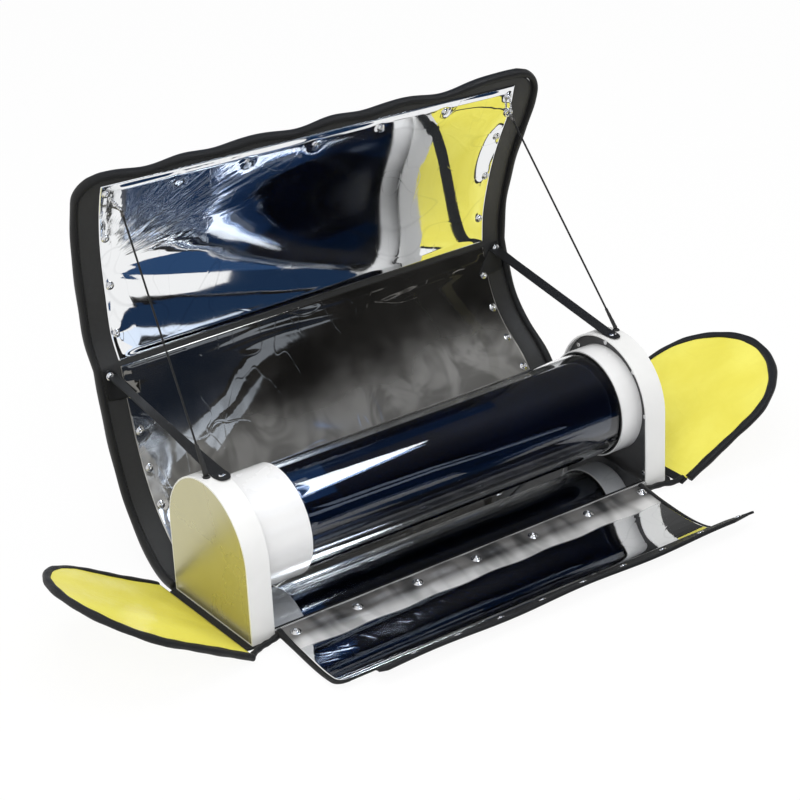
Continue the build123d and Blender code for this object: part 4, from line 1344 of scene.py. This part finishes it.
# Ends of the stay cords' straight routes in metres: (sleeve mouth, clasp mouth)
CORD_ROUTES = {
    "left": ((-0.26955, 0.01354, 0.17661), (-0.22997, 0.20729, 0.38078)),
    "right": ((0.27419, 0.01196, 0.17799), (0.25066, 0.15436, 0.38272)),
}
CORD_DIAMETER = 0.0022
# Share of the cord in its lower length, and each sleeve's (length, half width)
CORD_SPLIT = {"left": 0.5, "right": 0.34}
SLEEVES = {"left": (34.0, 2.9), "right": (26.0, 2.3)}
# How far a sleeve's foot lies behind its mouth, and the clasps' and bead chains' places on the upper panel
SLEEVE_BACK = 13.5
CLASP_LENGTH = 6.5
BEAD_PITCH = 3.0
CORNER_EYELET_X = {"left": -229.0, "right": 250.0}
CORNER_EYELET_T = 0.80
CORNER_RIVET = {"left": -EDGE_X, "right": EDGE_X}


def route_points(start, end):
    """Points along the cord's own spline from start to end, in metres."""
    data = bpy.data.curves.new("route", "CURVE")
    data.dimensions = "3D"
    spline = data.splines.new("NURBS")
    shares = (0, 0.25, 0.5, 0.75, 1)
    spline.points.add(len(shares) - 1)
    for point, share in zip(spline.points, shares):
        point.co = (*start.lerp(end, share), 1)
    spline.order_u = 3
    spline.use_endpoint_u = True
    spline.resolution_u = 10
    route = bpy.data.objects.new("route", data)
    mesh = bpy.data.meshes.new_from_object(route)
    found = np.array([tuple(v.co) for v in mesh.vertices])
    bpy.data.objects.remove(route)
    bpy.data.meshes.remove(mesh)
    return found


def make_cord(name):
    """One stay cord in two lengths, and its sleeve. Returns the sleeve's foot, the cord's top and its
    direction."""
    low, high = (Vector(p) for p in CORD_ROUTES[name])
    middle = low.lerp(high, CORD_SPLIT[name])
    halves = (("low", low, middle, ("base", "lid_lower")), ("high", middle, high, ("lid_lower", "lid_upper")))
    along = (high - low).normalized()
    for part, a, b, bodies in halves:
        path = route_points(a, b)
        section = oval(CORD_DIAMETER / MM, CORD_DIAMETER / MM, 12, 2)
        made = tube_mesh(f"{name}_stay_{part}", path / MM, AXIS_X, section, "cord_black")
        if part == "low":
            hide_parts(f"{name}_stay_cord")
        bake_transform(made)
    reach, bar = SLEEVES[name]
    share = np.linspace(0, 1, 40)
    foot = low - along * SLEEVE_BACK * MM
    sleeve_path = np.array([tuple(foot.lerp(foot + along * reach * MM, k)) for k in share]) / MM
    narrow = np.interp(share, (0, 0.05, 0.3, 0.9, 1), (0.7, 1, 0.95, 0.72, 0.62)) + 0.03 * np.sin(share * 21)
    section = oval(2 * bar, 2 * bar, 16, 2)
    sleeve = tube_mesh(f"{name}_cord_sleeve", sleeve_path, AXIS_X, section, "black_rubber", scale=narrow)
    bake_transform(sleeve)
    return foot, high, along


def make_cord_ends():
    """Cords, the discs that anchor them, the clasps and bead chains at their tops, and the corner eyelets."""
    discs, clasps, beads, eyelets = [], [], [], []
    for name, rivet_x in CORNER_RIVET.items():
        foot, high, along = make_cord(name)
        discs.append((Vector((foot.x / MM, foot.y / MM, HOUSING_TOP + 0.05)), (0, 0, 1)))
        clasps.append((high / MM, along))
        top = (high + along * CLASP_LENGTH * MM) / MM
        end = Vector(UPPER.place(rivet_x, TOP_RIVET_T, 3.2))
        normal = Vector(UPPER.normal(rivet_x, TOP_RIVET_T))
        count = int((end - top).length / BEAD_PITCH)
        for k in range(count + 1):
            share = k / count
            beads.append((top.lerp(end, share) + normal * 2.2 * sin(share * pi), (0, 0, 1)))
        spot = CORNER_EYELET_X[name], CORNER_EYELET_T
        eyelets.append((UPPER.place(*spot, 1.9), UPPER.normal(*spot)))
    disc = lathe_points([(0, 0), (4.0, 0), (4.2, 0.5), (3.6, 1.3), (2.6, 1.7), (0, 1.8)], 24)
    fasten("cord_anchor_discs", disc, discs, "black_rubber", "base", "cord_sleeves")
    barrel = lathe_points([(0, -1.0), (1.3, -1.0), (2.1, 0.0), (2.1, 2.6), (1.5, 3.2), (1.5, 4.2), (2.2, 4.8),
                           (2.0, 6.2), (0.9, 7.0), (0, 7.0)], 16)
    fasten("cord_clasp_barrels", barrel, clasps, "clasp_dark", "lid_upper", "cord_clasps")
    fasten("bead_chains", ball_shape(1.35), beads, "rivet_metal", "lid_upper")
    ring = ring_shape(4.2, 1.5, 0.6)
    fasten("corner_eyelets", ring, eyelets, "rivet_metal", "lid_upper", "corner_grommets")


make_cord_ends()


# Stitches along the lid's binding and its fold seam

STITCH_PITCH = 4.2


def make_stitches():
    """Thread inside the binding, on both faces of the lid, and along both edges of the fold seam."""
    x, u = round_the_lid(0.03, 400, 400, 3.1)
    shape = lathe_points([(0, -1.3), (0.26, -1.0), (0.34, 0), (0.26, 1.0), (0, 1.3)], 7)
    across = np.linspace(-268, 268, 400)
    lines = [LID.place(x, u, height) for height in (3.45, -5.05)]
    lines += [LID.place(across, np.full(400, seam_u), -4.2) for seam_u in (0.971, 1.029)]
    places = []
    for line in lines:
        line = even(line, int(line_length(line) / STITCH_PITCH))
        places += list(zip(line, np.gradient(line, axis=0)))
    thread = scatter("lid_binding_stitches", shape, places, "cord_black")
    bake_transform(thread)


make_stitches()


# Studio, in metres. Its cards are seen by reflections alone, and the nearer one hides those behind it.

CARD_CENTRE_Z = 0.1
CARD_RADIUS = 2.15
CANOPY_RADIUS = 2.2
WALL_DEPTH = -0.845
FLOOR_HALF = 9.0
FLOOR_GLOW = 0.93

def seen_ray(net):
    """1 for rays from the camera, from gloss and through glass."""
    rays = net.node("ShaderNodeLightPath")
    seen = net.math("MAXIMUM", rays.outputs["Is Camera Ray"], rays.outputs["Is Glossy Ray"])
    return net.math("MAXIMUM", seen, rays.outputs["Is Transmission Ray"])


def make_stage():
    """White floor, which glows to what sees it and keeps the object's shadow."""
    mesh = bpy.data.meshes.new("floor")
    corners = [(x * FLOOR_HALF, y * FLOOR_HALF, 0) for x, y in ((-1, -1), (1, -1), (1, 1), (-1, 1))]
    mesh.from_pydata(corners, [], [(0, 1, 2, 3)])
    floor = bpy.data.objects.new("floor", mesh)
    floor.location.z = -0.0005
    bpy.context.scene.collection.objects.link(floor)
    made, net, shader = material("white_floor", (0.96, 0.96, 0.96), 0.9, Specular_IOR_Level=0.0)
    glow = net.node("ShaderNodeEmission")
    glow.inputs["Color"].default_value = (1, 1, 1, 1)
    mixed = net.node("ShaderNodeMixShader")
    net.link(net.math("MULTIPLY", seen_ray(net), FLOOR_GLOW), mixed.inputs[0])
    net.link(shader.outputs[0], mixed.inputs[1])
    net.link(glow.outputs[0], mixed.inputs[2])
    net.link(mixed.outputs[0], made.node_tree.nodes["Material Output"].inputs[0])
    mesh.materials.append(made)


def card(name, corners, color, strength):
    """Glowing studio card that only reflections see, through its corner points."""
    mesh = bpy.data.meshes.new(name)
    mesh.from_pydata(corners, [], [tuple(range(len(corners)))])
    look = bpy.data.materials.new(name + "_light")
    look.use_nodes = True
    net = Net(look.node_tree)
    net.tree.nodes.clear()
    glow = net.node("ShaderNodeEmission")
    glow.inputs["Color"].default_value = (*color, 1)
    glow.inputs["Strength"].default_value = strength
    out = net.node("ShaderNodeOutputMaterial")
    net.tree.links.new(glow.outputs[0], out.inputs[0])
    mesh.materials.append(look)
    made = bpy.data.objects.new(name, mesh)
    bpy.context.scene.collection.objects.link(made)
    made.visible_camera = False
    made.visible_diffuse = False
    made.visible_shadow = False


def floor_card(name, corners, color, strength):
    card(name, [(x, y, 0.001) for x, y in corners], color, strength)


def wall_card(name, corners, color, strength, depth=WALL_DEPTH):
    card(name, [(x, depth, z) for x, z in corners], color, strength)


def bent_card(name, across, low, high, radius, color, strength):
    """Card on a round over the tube's length, between two x and two angles up from the front."""
    corners = []
    for x, angle in ((across[0], low), (across[1], low), (across[1], high), (across[0], high)):
        turn = radians(angle)
        corners.append((x, -radius * cos(turn), CARD_CENTRE_Z + radius * sin(turn)))
    card(name, corners, color, strength)


def arc_card(name, across, angles, color, strength, radius=CARD_RADIUS):
    """Bent cards in a row, from the first angle to the second."""
    steps = np.linspace(*angles, max(2, int((angles[1] - angles[0]) / 8) + 2))
    for k, (low, high) in enumerate(zip(steps, steps[1:])):
        bent_card(f"{name}_{k}", across, low, high, radius, color, strength)


def canopy():
    """Dark surround of the reflections, bent over the tube's length: black in front, grey overhead."""
    steps = np.linspace(10, 180, 25)
    for k, (low, high) in enumerate(zip(steps, steps[1:])):
        strength = np.interp((low + high) / 2, (28, 52, 78, 125, 180), (0.011, 0.05, 0.13, 0.09, 0.02))
        bent_card(f"canopy_{k}", (0.38, 3.2), low, high, CANOPY_RADIUS, (1, 1, 1), float(strength))


def lamp(name, place, size, power, target=(0, 0, 0.1)):
    data = bpy.data.lights.new(name, "AREA")
    data.shape = "RECTANGLE"
    data.size, data.size_y = size
    data.energy = power
    made = bpy.data.objects.new(name, data)
    way = Vector(place) - Vector(target)
    made.matrix_world = Matrix.Translation(place) @ way.to_track_quat("Z", "Y").to_matrix().to_4x4()
    bpy.context.scene.collection.objects.link(made)
    made.visible_glossy = False
    made.visible_transmission = False


def make_world():
    world = bpy.data.worlds.new("studio")
    bpy.context.scene.world = world
    world.use_nodes = True
    tree = world.node_tree
    tree.nodes.clear()
    net = Net(tree)
    back = net.node("ShaderNodeBackground")
    back.inputs["Color"].default_value = (1, 1, 1, 1)
    net.link(net.ramp(seen_ray(net), 0, 1, 0.66, 1.0), back.inputs["Strength"])
    out = net.node("ShaderNodeOutputWorld")
    tree.links.new(back.outputs[0], out.inputs[0])


make_world()
make_stage()
canopy()
wall_card("front_wall", [(0.24, 0.002), (2.4, 0.002), (2.4, 0.6), (0.24, 0.6)], (1, 1, 1), 0.011, -0.85)
card("wedge_softbox", [(0.34, -0.02, 1.15), (0.43, -0.62, 1.15), (0.60, -0.23, 1.15)], (0.9, 0.95, 1.0), 18)
NAVY = (0.17, 0.42, 1.0)
SILVER = (0.75, 0.85, 1.0)
SILVER_RADIUS = 2.1
floor_card("far_navy_rug", [
    (0.34, -0.85), (0.29, -0.53), (0.205, -0.355), (0.30, -0.33), (0.75, -0.40), (0.9, -0.85),
], NAVY, 0.07)
floor_card("near_navy_rug", [
    (0.03, -0.49), (0.09, -0.43), (0.14, -0.385), (0.205, -0.355), (0.30, -0.33), (0.17, -0.235),
    (0.06, -0.235), (0.02, -0.29),
], NAVY, 0.16)
wall_card("low_wall_navy", [
    (-0.7, 0.29), (0.34, 0.29), (0.455, 0.245), (0.525, 0.165), (0.63, 0.09), (0.72, 0.05), (0.72, 0.03),
    (0.34, 0.03), (0.25, 0.10), (-0.7, 0.13),
], NAVY, 0.075)
wall_card("slanted_strip", [
    (-0.7, 0.35), (0.34, 0.30), (0.455, 0.265), (0.525, 0.185), (0.63, 0.11), (0.68, 0.09), (0.68, 0.13),
    (0.64, 0.16), (0.53, 0.23), (0.46, 0.33), (0.36, 0.36), (0.02, 0.52), (-0.7, 0.6),
], SILVER, 1.1)
wall_card("upper_strip", [
    (0.30, 0.44), (0.40, 0.41), (0.47, 0.37), (0.55, 0.28), (0.54, 0.31), (0.48, 0.43), (0.40, 0.50),
    (0.30, 0.56),
], SILVER, 0.9)
arc_card("blue_overhead", (0.40, 0.99), (44, 178), NAVY, 0.45)
arc_card("blue_behind", (0.99, 1.42), (99, 178), NAVY, 0.13)
# Far end in x, angles and strength of each
SILVER_ARCS = (
    (0.80, (44, 50), 4.0),
    (0.92, (57, 61), 2.0),
    (0.76, (67, 72), 4.0),
    (0.92, (78, 81), 2.5),
    (0.92, (90, 97), 1.6),
)
for count, (end_x, angles, strength) in enumerate(SILVER_ARCS):
    arc_card(f"silver_left_{count}", (0.40, end_x), angles, SILVER, strength, SILVER_RADIUS)
arc_card("silver_middle", (0.93, 1.09), (118, 134), SILVER, 0.7, SILVER_RADIUS)
lamp("key_softbox", (-1.2, -1.6, 2.2), (1.6, 1.2), 24)
lamp("fill_softbox", (1.8, -1.2, 1.6), (1.2, 1.2), 2)
lamp("top_softbox", (0.0, 0.2, 2.3), (1.6, 1.0), 16)
bpy.context.scene.view_settings.view_transform = "Standard"
